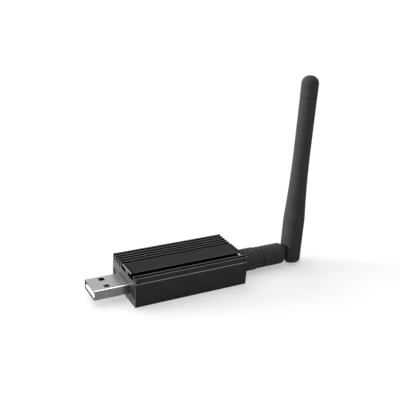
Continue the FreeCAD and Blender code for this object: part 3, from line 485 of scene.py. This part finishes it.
def dressNodes():
    slots = {part["node"]: part["material_slot"] for part in frame["record"]["subparts"]}
    for node, piece in frame["nodes"].items():
        piece.data.materials.clear()
        piece.data.materials.append(finishes[slots[node]])
    print("nodes dressed")


# Housing tube and end plates: one outline, cut into cells by planes and thinned out where it is hollow

housing = {
    "fin": 0.8 * mm,
    "finPitch": 2.08 * mm,
    "farGrooves": 5,
    "wideGroove": 2.77 * mm,
    "grooveDepth": 2.5 * mm,
    "sideGroove": 0.7 * mm,
    "sideGrooveDepth": 0.4 * mm,
    "wall": 1.5 * mm,
    "floor": 1.2 * mm,
    "deck": 1.4 * mm,
    "portReach": 2.95 * mm,  # screw ports, inwards from the cavity's sides
    "portLow": 3.4 * mm,
    "portHigh": 7.2 * mm,
    "slotDepth": 0.6 * mm,   # board slots in the ports
    "slotLow": 4.0 * mm,
    "slotHigh": 5.35 * mm,
    "lip": 0.18 * mm,        # under each side groove
    "edge": 0.14 * mm,
    "panelThick": 0.7 * mm,  # the panel stands on a web, with a hollow under each long edge
    "nearHollow": 3.1 * mm,
    "farHollow": 3.9 * mm,
    "panelLeast": 3 * mm,    # a top face broader than this is the panel
    "panelChamfer": 0.22 * mm,
}


def addProfile(start, end, hollow):
    low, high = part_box("housing_extrusion")
    side = high.y
    grooveWidth = housing["finPitch"] - housing["fin"]
    grooves = []
    for number in range(housing["farGrooves"]):
        top = side - housing["fin"] - number * housing["finPitch"]
        grooves.append((top - grooveWidth, top))
    panelFar = grooves[-1][0]
    nearStart = -side + housing["fin"]
    wideStart = nearStart + housing["finPitch"]
    panelNear = wideStart + housing["wideGroove"]
    grooves += [(nearStart, nearStart + grooveWidth), (wideStart, panelNear)]
    hollows = [(panelNear, panelNear + housing["nearHollow"]), (panelFar - housing["farHollow"], panelFar)]
    underside = high.z - housing["panelThick"]
    grooveFloor = high.z - housing["grooveDepth"]
    notchSide = side - housing["sideGrooveDepth"]
    notchTop = grooveFloor + housing["sideGroove"]
    cavity = side - housing["wall"]
    port = cavity - housing["portReach"]
    slot = port + housing["slotDepth"]
    cavityTop = grooveFloor - housing["deck"]
    across = [edge for groove in grooves + hollows for edge in groove] + [-notchSide, notchSide]
    levels = [grooveFloor, notchTop, underside]
    if hollow:
        across += [sign * place for sign in (-1, 1) for place in (cavity, port, slot)]
        levels += [housing[name] for name in ("floor", "portLow", "portHigh", "slotLow", "slotHigh")]
        levels.append(cavityTop)

    def isOpen(face):
        middle = face.calc_center_median()
        away = abs(middle.y)
        if middle.z > grooveFloor:
            inGroove = any(near < middle.y < far for near, far in grooves)
            inHollow = middle.z < underside and any(near < middle.y < far for near, far in hollows)
            return inGroove or inHollow or (away > notchSide and middle.z < notchTop)
        if not hollow or away > cavity or not housing["floor"] < middle.z < cavityTop:
            return False
        inPort = away > port and housing["portLow"] < middle.z < housing["portHigh"]
        inSlot = away < slot and housing["slotLow"] < middle.z < housing["slotHigh"]
        return not inPort or inSlot

    bpy.ops.mesh.primitive_plane_add(size=1, location=(start, 0, high.z / 2), rotation=turnTo["X"])
    piece = bpy.context.object
    piece.scale = (high.z, 2 * side, 1)
    fixPlace(piece)
    startEdit(piece)
    for place in across:
        bpy.ops.mesh.select_all(action="SELECT")
        bpy.ops.mesh.bisect(plane_co=(0, place, 0), plane_no=(0, 1, 0))
    for level in levels:
        bpy.ops.mesh.select_all(action="SELECT")
        bpy.ops.mesh.bisect(plane_co=(0, 0, level), plane_no=(0, 0, 1))
    bpy.ops.mesh.select_mode(type="FACE")
    pick(piece, "faces", isOpen)
    bpy.ops.mesh.delete(type="FACE")
    bpy.ops.mesh.select_all(action="SELECT")
    bpy.ops.mesh.extrude_region_move(TRANSFORM_OT_translate={"value": (end - start, 0, 0)})
    bpy.ops.mesh.select_all(action="SELECT")
    bpy.ops.mesh.normals_make_consistent(inside=False)
    bpy.ops.mesh.dissolve_limited(angle_limit=math.radians(1))
    endEdit()
    paint(piece, "black_anodised", "anodised_edge", "anodised_groove", "plate_anodised", "anodised_panel",
          "anodised_bare")

    def isLip(edge):
        ends = [point.co for point in edge.verts]
        return all(abs(abs(end.y) - side) < touch and abs(end.z - grooveFloor) < touch for end in ends)

    # the lip chamfer under each side groove takes slot 5, a bright painted highlight
    chamfer(piece, housing["lip"], 5, isLip)
    return piece


# Rounds the edges, with a painted highlight on the bevels of the upper edges; paints shade into the grooves and a
# darker painted shade on the panel
def finishProfile(piece):
    low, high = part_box("housing_extrusion")
    grooveFloor = high.z - housing["grooveDepth"]
    # the bevel faces take slot 1, a lighter, shinier painted highlight
    softEdges(piece, housing["edge"], 50, paint=1)

    def isEdgeWithoutHighlight(face):
        middle = face.calc_center_median()
        atSeam = min(abs(middle.x - low.x), abs(middle.x - high.x)) < housing["edge"]
        return face.material_index == 1 and (middle.z < grooveFloor - housing["lip"] or atSeam)

    def isInGroove(face):
        middle = face.calc_center_median()
        sunken = grooveFloor - touch < middle.z < high.z - touch
        inside = sunken and abs(middle.y) < high.y - touch
        return inside and face.material_index == 0 and abs(face.normal.x) < 0.5

    def isPanel(face):
        across = [point.co.y for point in face.verts]
        breadth = max(across) - min(across)
        return face.calc_center_median().z > high.z - touch and breadth > housing["panelLeast"]

    # bevels low on the sides and at the seams go back to the plain finish, so that only the upper edges carry the
    # painted highlight
    paintFaces(piece, 0, isEdgeWithoutHighlight)
    # groove walls and floors take slot 2, a near-black painted shade
    paintFaces(piece, 2, isInGroove)
    # the panel takes slot 4, the plain finish painted darker as shade
    paintFaces(piece, 4, isPanel)


def makeHousingTube():
    low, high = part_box("housing_extrusion")
    tube = addProfile(low.x, high.x, True)
    finishProfile(tube)
    settle(tube, "housingTube", "housing", "black_anodised", "housing_extrusion")


screws = {
    "headRadius": 1.9 * mm,
    "headRim": 0.15 * mm,
    "headEdge": 0.06 * mm,
    "shank": 0.8 * mm,
    "length": 6.0 * mm,
    "point": 0.4 * mm,
    "crossSpan": 2.1 * mm,
    "crossWidth": 0.45 * mm,
    "crossDepth": 0.5 * mm,
    "hole": 1.1 * mm,
    "sinkPlay": 0.13 * mm,
    "sinkAbove": 1 * mm,    # the sink's cutter stands out of the plate by this much
    "sinkThrough": 2 * mm,  # and reaches this deep, which is through it
    "edge": 0.04 * mm,
}


def screwPlaces(node):
    low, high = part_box(node)
    across = high.y - screws["headRadius"]
    return [Vector((0, sign * across, (low.z + high.z) / 2)) for sign in (-1, 1)]


plates = {
    "windowPlay": 0.15 * mm,
    "windowCorner": 0.9 * mm,
    "jackHole": 3.225 * mm,
}


# The way is -1 at the plug's end and 1 at the jack's
def makeEndPlate(node, name, screwNode, way, opening):
    low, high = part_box(node)
    face = high.x if way > 0 else low.x
    plate = addProfile(low.x, high.x, False)
    cut(plate, opening)
    mouth = screws["headRadius"] + screws["sinkPlay"]
    rim = screws["headRim"]
    hole = screws["hole"]
    depths = [(screws["sinkAbove"], mouth), (-rim, mouth), (hole - mouth - rim, hole),
              (-screws["sinkThrough"], hole)]
    sink = [(way * depth, radius) for depth, radius in depths]
    places = screwPlaces(screwNode)

    def isPanelFront(edge):
        ends = [point.co for point in edge.verts]
        atTop = all(abs(end.x - face) < touch and abs(end.z - high.z) < touch for end in ends)
        return atTop and abs(ends[0].y - ends[1].y) > housing["panelLeast"]

    def isInSink(part):
        middle = part.calc_center_median()
        away = min(math.hypot(middle.y - place.y, middle.z - place.z) for place in places)
        return away < mouth + rim / 2 and abs(middle.x - face) > touch

    def isFront(part):
        return way * part.normal.x > 0.99 and abs(part.calc_center_median().x - face) < rim / 2

    # the panel's front chamfer takes the same painted highlight of slot 5
    chamfer(plate, housing["panelChamfer"], 5, isPanelFront)
    for place in places:
        cut(plate, turned((face, place.y, place.z), "X", sink, sidesSmall))
    finishProfile(plate)
    paintFaces(plate, 3, isFront)
    # the countersinks take slot 2, the near-black painted shade
    paintFaces(plate, 2, isInSink)
    settle(plate, name, "housing", "black_anodised", node)


def makeEndPlates():
    low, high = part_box("usb_end_plate")
    play = plates["windowPlay"]
    inner, outer = plugEnds()
    window = addRoundedBar((2 * low.x, inner.y - play, inner.z - play), (0, outer.y + play, outer.z + play),
                           plates["windowCorner"])
    makeEndPlate("usb_end_plate", "plugEndPlate", "usb_plate_screws", -1, window)
    low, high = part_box("antenna_end_plate")
    hole = addRod((high.x, jackCentre.y, jackCentre.z), plates["jackHole"], 4 * (high.x - low.x), "X")
    makeEndPlate("antenna_end_plate", "jackEndPlate", "antenna_plate_screws", 1, hole)


# One countersunk screw, its flat head at x = 0 and its point towards +X
def modelScrew():
    head = screws["headRadius"]
    rim = screws["headRim"]
    shank = screws["shank"]
    edge = screws["headEdge"]
    length = screws["length"]
    stations = [(0, head - edge), (edge, head), (rim, head), (rim + head - shank, shank),
                (length - screws["point"], shank), (length, shank / 2)]
    screw = turned((0, 0, 0), "X", stations, sidesSmall)
    span = screws["crossSpan"] / 2
    width = screws["crossWidth"] / 2
    depth = screws["crossDepth"]
    for reach, breadth in ((span, width), (width, span)):
        cut(screw, addBlock((-depth, -reach, -breadth), (depth, reach, breadth)))
    paint(screw, "blackened_steel")
    softEdges(screw, screws["edge"], 50)
    return screw


def makeScrews():
    pattern = modelScrew()
    ends = (("usb_plate_screws", "plugPlateScrews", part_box("usb_end_plate")[0].x, 0),
            ("antenna_plate_screws", "jackPlateScrews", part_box("antenna_end_plate")[1].x, math.pi))
    for node, name, seat, turn in ends:
        pair = []
        for place in screwPlaces(node):
            screw = pattern.copy()
            screw.data = pattern.data.copy()
            bpy.context.collection.objects.link(screw)
            screw.location = (seat, place.y, place.z)
            screw.rotation_euler = (0, 0, turn)
            fixPlace(screw)
            pair.append(screw)
        settle(joined(*pair), name, "housing", "blackened_steel", node)
    bpy.data.objects.remove(pattern)


# USB plug: a rounded tube of thin sheet with latch windows, a fold seam below and locating ears

plug = {
    "width": 12.0 * mm,
    "corner": 0.8 * mm,
    "sheet": 0.3 * mm,
    "window": 2.5 * mm,
    "windowFromTip": 6.41 * mm,
    "windowAside": 3.0 * mm,
    "seam": 0.12 * mm,
    "earFromBack": 0.6 * mm,
    "earLength": 2.6 * mm,
    "earLow": 5.2 * mm,
    "edge": 0.06 * mm,
    "flankAside": 0.6,  # how far sideways a flank's normal leans, at least
    "bendAside": 0.15,  # the same for the bends along the top,
    "bendUp": 0.8,      # and how far upwards
}


def plugEnds():
    low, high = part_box("usb_shell")
    half = plug["width"] / 2
    return Vector((low.x, -half, low.z)), Vector((high.x, half, high.z))


def makePlugShell():
    low, high = plugEnds()
    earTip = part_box("usb_shell")[1].y
    shell = addRoundedBar(low, high, plug["corner"])
    startEdit(shell)
    pick(shell, "faces", lambda face: abs(face.normal.x) > 0.9)
    bpy.ops.mesh.delete(type="FACE")
    endEdit()
    applied(shell, "SOLIDIFY", thickness=plug["sheet"], offset=-1, use_even_offset=True)
    half = plug["window"] / 2
    middle = low.x + plug["windowFromTip"]
    for side in (-plug["windowAside"], plug["windowAside"]):
        cut(shell, addBlock((middle - half, side - half, 0), (middle + half, side + half, 2 * high.z)))
    seam = plug["seam"] / 2
    cut(shell, addBlock((2 * low.x, -seam, 0), (0, seam, low.z + 2 * plug["sheet"])))
    paint(shell, "plug_steel", "plug_bend", "plug_flank", "plug_inside")
    softEdges(shell, plug["edge"], 50)
    wall = 0.9 * plug["sheet"]

    def isInside(face):
        middle = face.calc_center_median()
        return abs(middle.y) < high.y - wall and low.z + wall < middle.z < high.z - wall

    def isSheetEdge(face):
        return face.calc_center_median().x < low.x + plug["edge"] and face.normal.x < -0.5

    def isTopEdge(face):
        middle = face.calc_center_median()
        atTop = middle.z > high.z - plug["sheet"] and abs(middle.y) < high.y - plug["corner"]
        return atTop and isSheetEdge(face)

    def isBend(face):
        leaning = face.normal.z > plug["bendUp"] and abs(face.normal.y) > plug["bendAside"]
        return leaning and not isInside(face)

    # the flanks take slot 2, the sheet painted darker as shade
    paintFaces(shell, 2, lambda face: abs(face.normal.y) > plug["flankAside"] and not isInside(face))
    # the inner faces and the sheet's cut edges take slot 3, painted dark as shade
    paintFaces(shell, 3, lambda face: isInside(face) or isSheetEdge(face))
    # the bends along the top and the top sheet's front edge take slot 1, a near-white painted highlight
    paintFaces(shell, 1, lambda face: isBend(face) or isTopEdge(face))
    back = high.x - plug["earFromBack"]
    for side in (-1, 1):
        ear = addBlock((back - plug["earLength"], side * (high.y - plug["sheet"]), plug["earLow"]),
                       (back, side * earTip, plug["earLow"] + plug["sheet"]))
        startEdit(ear)
        bpy.ops.mesh.normals_make_consistent(inside=False)
        endEdit()
        joined(shell, ear)
    settle(shell, "plugShell", "housing", "plug_steel", "usb_shell", angle=40)


# Coaxial jack: board end from the frame, and a threaded barrel

jack = {
    "pitch": 25.4 / 36 * mm,
    "crest": 3.175 * mm,
    "threadDepth": 0.36 * mm,
    "flank": 0.43,         # shares of the pitch
    "flat": 0.1,
    "sunk": 0.03 * mm,     # from the core's surface down to the ridge's foot
    "overlap": 0.02 * mm,  # of the thread with the board end
    "threadStart": 29.35 * mm,
    "endChamfer": 0.4 * mm,
    "mouth": 2.32 * mm,
    "mouthDepth": 2.2 * mm,
    "bore": 2.05 * mm,
}


# A ridge swept along the helix, its foot sunk a little into a plain core
def addThread(start, end):
    pitch = jack["pitch"]
    flank = jack["flank"] * pitch
    flat = jack["flat"] * pitch
    root = jack["crest"] - jack["threadDepth"]
    rise = jack["threadDepth"] + jack["sunk"]
    bpy.ops.mesh.primitive_plane_add(size=pitch, location=(start - pitch, 0, root - jack["sunk"]))
    ridge = bpy.context.object
    fixPlace(ridge)
    startEdit(ridge, "VERT")
    bpy.ops.mesh.merge(type="CENTER")
    for step in ((flank, 0, rise), (flat, 0, 0), (flank, 0, -rise), (-2 * flank - flat, 0, 0)):
        bpy.ops.mesh.extrude_vertices_move(TRANSFORM_OT_translate={"value": step})
    bpy.ops.mesh.select_all(action="SELECT")
    bpy.ops.mesh.remove_doubles(threshold=weldReach)
    endEdit()
    turns = math.ceil((end - start) / pitch) + 2
    applied(ridge, "SCREW", axis="X", angle=math.tau, screw_offset=pitch, iterations=turns,
            steps=sidesSmall, render_steps=sidesSmall)
    startEdit(ridge)
    bpy.ops.mesh.fill_holes(sides=4)
    bpy.ops.mesh.normals_make_consistent(inside=False)
    endEdit()
    core = addRod(((start + end) / 2, 0, 0), root, end - start + 2 * turns * pitch, "X", sidesSmall)
    cut(core, ridge, how="UNION")
    return core


def makeJackBody():
    low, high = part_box("rf_jack_body")
    source = frame["nodes"]["rf_jack_body"]
    body = source.copy()
    body.data = source.data.copy()
    body.parent = None
    bpy.context.collection.objects.link(body)
    start = jack["threadStart"]
    startEdit(body)
    bpy.ops.mesh.remove_doubles(threshold=weldReach)
    bpy.ops.mesh.bisect(plane_co=(start, 0, 0), plane_no=(1, 0, 0), use_fill=True, clear_outer=True)
    endEdit()
    crest = jack["crest"]
    clear = 1.1 * crest
    chamferStart = high.x - jack["endChamfer"]
    thread = addThread(start - jack["pitch"] / 2, high.x + jack["pitch"])
    blank = turned((0, 0, 0), "X", [(start - jack["overlap"], clear), (chamferStart, clear),
                                    (chamferStart, crest), (high.x, crest - jack["endChamfer"])], sidesSmall)
    cut(thread, blank, how="INTERSECT")
    cut(thread, addRod((start, 0, 0), jack["bore"], 1, "X"))
    cut(thread, addRod((high.x, 0, 0), jack["mouth"], 2 * jack["mouthDepth"], "X"))
    tidyMesh(thread, weldReach)
    thread.location = jackCentre
    fixPlace(thread)
    paint(thread, "gold_plate")
    joined(body, thread)
    settle(body, "jackBody", "housing", "gold_plate", "rf_jack_body")


hexNut = {
    "acrossFlats": 8.0 * mm,
    "bore": 3.225 * mm,
    "bevel": 0.35 * mm,
    "edge": 0.06 * mm,
}


def makeHexNut():
    low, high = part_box("jack_hex_nut")
    corner = hexNut["acrossFlats"] / math.sqrt(3)
    bevel = hexNut["bevel"]
    start = (low.x, jackCentre.y, jackCentre.z)
    thickness = high.x - low.x
    nut = addRod(((low.x + high.x) / 2, jackCentre.y, jackCentre.z), corner, thickness, "X", 6)
    blank = turned(start, "X", [(0, corner - bevel), (bevel / 2, corner), (thickness - bevel / 2, corner),
                                (thickness, corner - bevel)])
    cut(nut, blank, how="INTERSECT")
    cut(nut, addRod(start, hexNut["bore"], 4 * thickness, "X"))
    paint(nut, "nickel_plate")
    softEdges(nut, hexNut["edge"], 30)
    settle(nut, "jackHexNut", "housing", "nickel_plate", "jack_hex_nut", angle=30)


# Ribbed sleeve of the coupling nut: turned, then the columns of points in each valley are pulled
# inwards and those on each crown a little outwards

sleeve = {
    "radius": 5.275 * mm,
    "neckRadius": 4.975 * mm,
    "neckLength": 3.5 * mm,
    "bevel": 0.3 * mm,
    "collar": 4.55 * mm,     # a plain collar ahead of the ribs, towards the housing
    "collarLength": 1.0 * mm,
    "bore": 4.2 * mm,
    "endBore": 2.25 * mm,
    "endWall": 2.31 * mm,
    "ribs": 36,
    "columns": 8,            # columns of points to a rib and its valley
    "valleyColumns": (7, 0, 1),
    "crownColumns": (3, 4, 5),
    "highlightFrom": 2.0,        # columns between which the rib carries a painted highlight
    "highlightTo": 6.0,
    "ribDepth": 0.3 * mm,
    "crown": 0.04 * mm,
    "seamLength": 0.1 * mm,  # two rows of points, this far apart, end the ribs
}


def makeRibbedSleeve():
    low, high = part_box("knurled_sleeve")
    wide = sleeve["radius"]
    neck = sleeve["neckRadius"]
    bevel = sleeve["bevel"]
    length = high.x - low.x
    step = length - sleeve["neckLength"]
    plainStart = length - 2 * bevel
    inner = length - sleeve["endWall"]
    ribStart = sleeve["collarLength"]
    stations = [(0, sleeve["bore"]), (inner, sleeve["bore"]), (inner, sleeve["endBore"]),
                (length, sleeve["endBore"]), (length, neck - bevel), (length - bevel, neck),
                (plainStart, neck), (plainStart - sleeve["seamLength"], neck),
                (step + bevel, neck), (step, wide), (ribStart + bevel, wide), (ribStart, wide - bevel),
                (ribStart, sleeve["collar"]), (0, sleeve["collar"]), (0, sleeve["bore"])]
    centre = Vector((low.x, jackCentre.y, jackCentre.z))
    columns = sleeve["ribs"] * sleeve["columns"]
    piece = turned(centre, "X", stations, columns)

    def columnOf(place):
        angle = math.atan2(place.z - centre.z, place.y - centre.y)
        return angle / math.tau * columns % sleeve["columns"]

    def isOutside(place):
        away = math.hypot(place.y - centre.y, place.z - centre.z)
        return away > neck - 1.1 * bevel and place.x < centre.x + plainStart - sleeve["seamLength"] / 2

    startEdit(piece, "VERT")
    for chosen, depth in ((sleeve["valleyColumns"], sleeve["ribDepth"]),
                          (sleeve["crownColumns"], -sleeve["crown"])):
        pick(piece, "verts", lambda point: isOutside(point.co) and
             round(columnOf(point.co)) % sleeve["columns"] in chosen)
        shrink = (wide - depth) / wide
        bpy.ops.transform.resize(value=(1, shrink, shrink), center_override=centre)
    endEdit()
    paint(piece, "black_polymer", "polymer_crown", "polymer_valley")

    def isCrown(face):
        column = columnOf(face.calc_center_median())
        return sleeve["highlightFrom"] < column < sleeve["highlightTo"]

    def isRibbed(face):
        return abs(face.normal.x) < 0.9 and isOutside(face.calc_center_median())

    # the ribbed faces take slot 2, near black, as painted shade in the valleys
    paintFaces(piece, 2, isRibbed)
    # crowns and the sleeve's end step take slot 1, a paler painted highlight
    paintFaces(piece, 1, lambda face: isRibbed(face) and (isCrown(face) or face.normal.x < -0.5))
    settle(piece, "ribbedSleeve", "coupling_nut", "black_polymer", "knurled_sleeve", angle=30)


# Elbow base: a turned barrel that swivels on the connector, with a tongue and two trunnions

elbow = {
    "barrelStart": -17.8 * mm,  # places count from the hinge
    "barrelEnd": -5.69 * mm,
    "radius": 5.0 * mm,
    "rim": 1.5 * mm,
    "chamfer": 0.3 * mm,
    "tailBore": 2.25 * mm,
    "lipBore": 2.75 * mm,
    "lipFrom": -10.95 * mm,
    "lipTo": -10.15 * mm,
    "cableBore": 0.8 * mm,
    "tongueHalf": 1.7 * mm,
    "trunnion": 1.5 * mm,
    "trunnionReach": 3.0 * mm,
    "bend": 3.8 * mm,
}


# A block whose corners count from the hinge
def addHingeBlock(low, high):
    return addBlock(hinge + Vector(low), hinge + Vector(high))


def makeElbowBase():
    start = elbow["barrelStart"]
    end = elbow["barrelEnd"]
    radius = elbow["radius"]
    rim = elbow["rim"]
    way = elbow["cableBore"]
    stations = [(start, elbow["tailBore"]), (elbow["lipFrom"], elbow["tailBore"]),
                (elbow["lipFrom"], elbow["lipBore"]), (elbow["lipTo"], elbow["lipBore"]),
                (elbow["lipTo"], way), (end, way)]
    stations += arcOf(end - rim, radius - rim, rim, 0, 90)
    stations += [(start + elbow["chamfer"], radius), (start, radius - elbow["chamfer"]),
                 (start, elbow["tailBore"])]
    base = turned(hinge, "X", stations)
    paint(base, "black_polymer")
    tongueRadius = radius - rim
    half = elbow["tongueHalf"]
    tongue = addHingeBlock((end - rim / 2, -half, -tongueRadius), (0, half, tongueRadius))
    cut(tongue, addRod(hinge, tongueRadius, 2 * half, "Y", sidesRound), how="UNION")
    cut(tongue, addRod(hinge, elbow["trunnion"], 2 * elbow["trunnionReach"], "Y", sidesSmall), how="UNION")
    cut(base, tongue, how="UNION")
    far = 2 * radius
    cut(base, addHingeBlock((end - rim, -way, -way), (far, way, way)))
    cut(base, addHingeBlock((-elbow["bend"], -way, -way), (far, way, far)))
    tidyMesh(base, sliver)
    settle(base, "elbowBase", "antenna_base", "black_polymer", "elbow_base")


# Whip: a fork that straddles the tongue and runs up into a tapered tube, and its tip cap

whip = {
    "foot": -4.3 * mm,      # heights count from the hinge
    "heel": 0.8 * mm,
    "shoulder": 5.3 * mm,
    "taperStart": 17.4 * mm,
    "taperEnd": 52.4 * mm,
    "topRadius": 3.82 * mm,
    "bore": 2.4 * mm,
    "taperSteps": 14,
    "seamBevel": 0.2 * mm,
    "cheek": 3.65 * mm,
    "slotHalf": 1.85 * mm,
    "slotReach": 3.7 * mm,
    "bearing": 1.55 * mm,
    "bearingHalf": 3.1 * mm,
    "capRadius": 3.87 * mm,
    "capDome": 3.5 * mm,
    "spigotPlay": 0.02 * mm,
}


def makeWhipSheath():
    foot = whip["foot"]
    radius = elbow["radius"]
    heel = whip["heel"]
    top = whip["topRadius"]
    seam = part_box("whip_sheath")[1].z - hinge.z
    way = elbow["cableBore"]
    bevel = whip["seamBevel"]
    stations = [(foot, way)] + arcOf(foot + heel, radius - heel, heel, 180, 90)
    rise = whip["taperEnd"] - whip["taperStart"]
    for step in range(whip["taperSteps"] + 1):
        share = step / whip["taperSteps"]
        stations.append((whip["taperStart"] + rise * share, top + (radius - top) * (1 - share) ** 2))
    stations += [(seam - bevel, top), (seam, top - bevel), (seam, whip["bore"]),
                 (whip["shoulder"], whip["bore"]), (whip["shoulder"], way), (foot, way)]
    sheath = turned(hinge, "Z", stations)
    paint(sheath, "black_polymer")
    far = 2 * radius
    reach = whip["slotReach"]
    half = whip["slotHalf"]
    cut(sheath, addHingeBlock((-far, -far, -far), (-whip["cheek"], far, whip["shoulder"])))
    slot = addHingeBlock((-far, -half, -far), (0, half, reach))
    cut(slot, addHingeBlock((-reach, -half, -far), (reach, half, 0)), how="UNION")
    cut(slot, addRod(hinge, reach, 2 * half, "Y", sidesRound), how="UNION")
    cut(sheath, slot)
    cut(sheath, addRod(hinge, whip["bearing"], 2 * whip["bearingHalf"], "Y", sidesSmall))
    tidyMesh(sheath, sliver)
    settle(sheath, "whipSheath", "whip", "black_polymer", "whip_sheath", angle=30)


def makeTipCap():
    low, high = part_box("whip_tip_cap")
    bottom = low.z - hinge.z
    top = high.z - hinge.z
    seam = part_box("whip_sheath")[1].z - hinge.z
    radius = whip["capRadius"]
    bevel = whip["seamBevel"]
    dome = whip["capDome"]
    spigot = whip["bore"] - whip["spigotPlay"]
    stations = [(bottom, spigot), (seam, spigot), (seam, radius - bevel), (seam + bevel, radius)]
    stations += arcOf(top - dome, radius - dome, dome, 90, 0, 16)
    cap = turned(hinge, "Z", stations)
    paint(cap, "black_polymer", "polymer_valley")
    # the seam's bevel takes slot 1, near black, as painted shade in the seam
    paintFaces(cap, 1, lambda face: face.calc_center_median().z < hinge.z + seam + bevel)
    settle(cap, "whipTipCap", "whip", "black_polymer", "whip_tip_cap")


# Antenna cable: out of the connector, round the hinge and up the whip

cable = {
    "radius": 0.7 * mm,
    "bend": 3.0 * mm,
    "bendSteps": 12,
    "sides": 24,
    "runShares": (0.5, 0.35, 0.15),         # rings of points lie closer towards the bend
    "riseShares": (0.03, 0.07, 0.3, 0.6),
}


def makeCable():
    low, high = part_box("antenna_cable")
    bend = cable["bend"]
    bpy.ops.mesh.primitive_circle_add(vertices=cable["sides"], radius=cable["radius"], fill_type="NGON",
                                      location=(low.x, hinge.y, hinge.z), rotation=turnTo["X"])
    piece = bpy.context.object
    fixPlace(piece)
    startEdit(piece)
    run = hinge.x - bend - low.x
    for share in cable["runShares"]:
        bpy.ops.mesh.extrude_region_move(TRANSFORM_OT_translate={"value": (run * share, 0, 0)})
    bpy.ops.mesh.spin(steps=cable["bendSteps"], angle=math.pi / 2, axis=(0, 1, 0),
                      center=hinge + Vector((-bend, 0, bend)))
    rise = high.z - hinge.z - bend
    for share in cable["riseShares"]:
        bpy.ops.mesh.extrude_region_move(TRANSFORM_OT_translate={"value": (0, 0, rise * share)})
    bpy.ops.mesh.select_all(action="SELECT")
    bpy.ops.mesh.remove_doubles(threshold=weldReach)
    bpy.ops.mesh.normals_make_consistent(inside=False)
    endEdit()
    paint(piece, "cable_jacket")
    fixPlace(piece)
    bpy.ops.object.shade_smooth_by_angle(angle=math.radians(40))
    piece.name = "antennaCable"
    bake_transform(piece)
    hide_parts("antenna_cable")
    print("piece antennaCable", len(piece.data.polygons), "faces")


# Floor, lamps and world

stage = {
    "floorSize": 6.0,
    "floorColour": (0.54, 0.54, 0.54),
    "floorLift": 0.44,
    "worldGlow": 0.3,
    "lamps": {
        "topLamp": {"azimuth": 125, "elevation": 66, "spread": 75, "power": 2.1},
        "sideLamp": {"azimuth": 148, "elevation": 8, "spread": 30, "power": 4.6},
    },
}


def makeFloor():
    bpy.ops.mesh.primitive_plane_add(size=stage["floorSize"], location=(0, 0, 0))
    floor = bpy.context.object
    floor.name = "floor"
    finish = Finish("floorPaper")
    finish.node("ShaderNodeLightPath")
    rays = [finish.out("Is %s Ray" % kind) for kind in ("Camera", "Glossy", "Transmission")]
    glow = finish.node("ShaderNodeEmission", Color=(1, 1, 1),
                       Strength=(rays[0] + rays[1] + rays[2]) * stage["floorLift"]).out()
    paper = finish.node("ShaderNodeBsdfDiffuse", Color=stage["floorColour"]).out()
    both = finish.node("ShaderNodeAddShader").found
    finish.fill(both.inputs[0], glow)
    finish.fill(both.inputs[1], paper)
    finish.tree.links.new(both.outputs[0], finish.tree.nodes["Material Output"].inputs["Surface"])
    floor.data.materials.append(finish.material)


def addLamp(name, azimuth, elevation, spread, power):
    side = math.radians(azimuth)
    rise = math.radians(elevation)
    towards = Vector((math.cos(side) * math.cos(rise), math.sin(side) * math.cos(rise), math.sin(rise)))
    bpy.ops.object.light_add(type="SUN", location=towards)
    lamp = bpy.context.object
    lamp.name = name
    lamp.data.angle = math.radians(spread)
    lamp.data.energy = power
    lamp.rotation_mode = "QUATERNION"
    lamp.rotation_quaternion = (-towards).to_track_quat("-Z", "Y")


# The world is white where it is seen, and dimmer where it lights
def lightStage():
    makeFloor()
    for name, lamp in stage["lamps"].items():
        addLamp(name, **lamp)
    world = bpy.data.worlds.new("studio")
    bpy.context.scene.world = world
    world.use_nodes = True
    nodes = world.node_tree.nodes
    links = world.node_tree.links
    rays = nodes.new("ShaderNodeLightPath")
    level = nodes.new("ShaderNodeMapRange")
    links.new(rays.outputs["Is Diffuse Ray"], level.inputs["Value"])
    level.inputs["To Min"].default_value = 1.0
    level.inputs["To Max"].default_value = stage["worldGlow"]
    links.new(level.outputs[0], nodes["Background"].inputs["Strength"])
    nodes["Background"].inputs["Color"].default_value = (1, 1, 1, 1)
    bpy.context.scene.view_settings.view_transform = "Standard"
    print("stage lit")


placeCamera()
lightStage()
dressNodes()
makeHousingTube()
makeEndPlates()
makeScrews()
makePlugShell()
makeJackBody()
makeHexNut()
makeRibbedSleeve()
makeElbowBase()
makeWhipSheath()
makeTipCap()
makeCable()

print("pieces done")
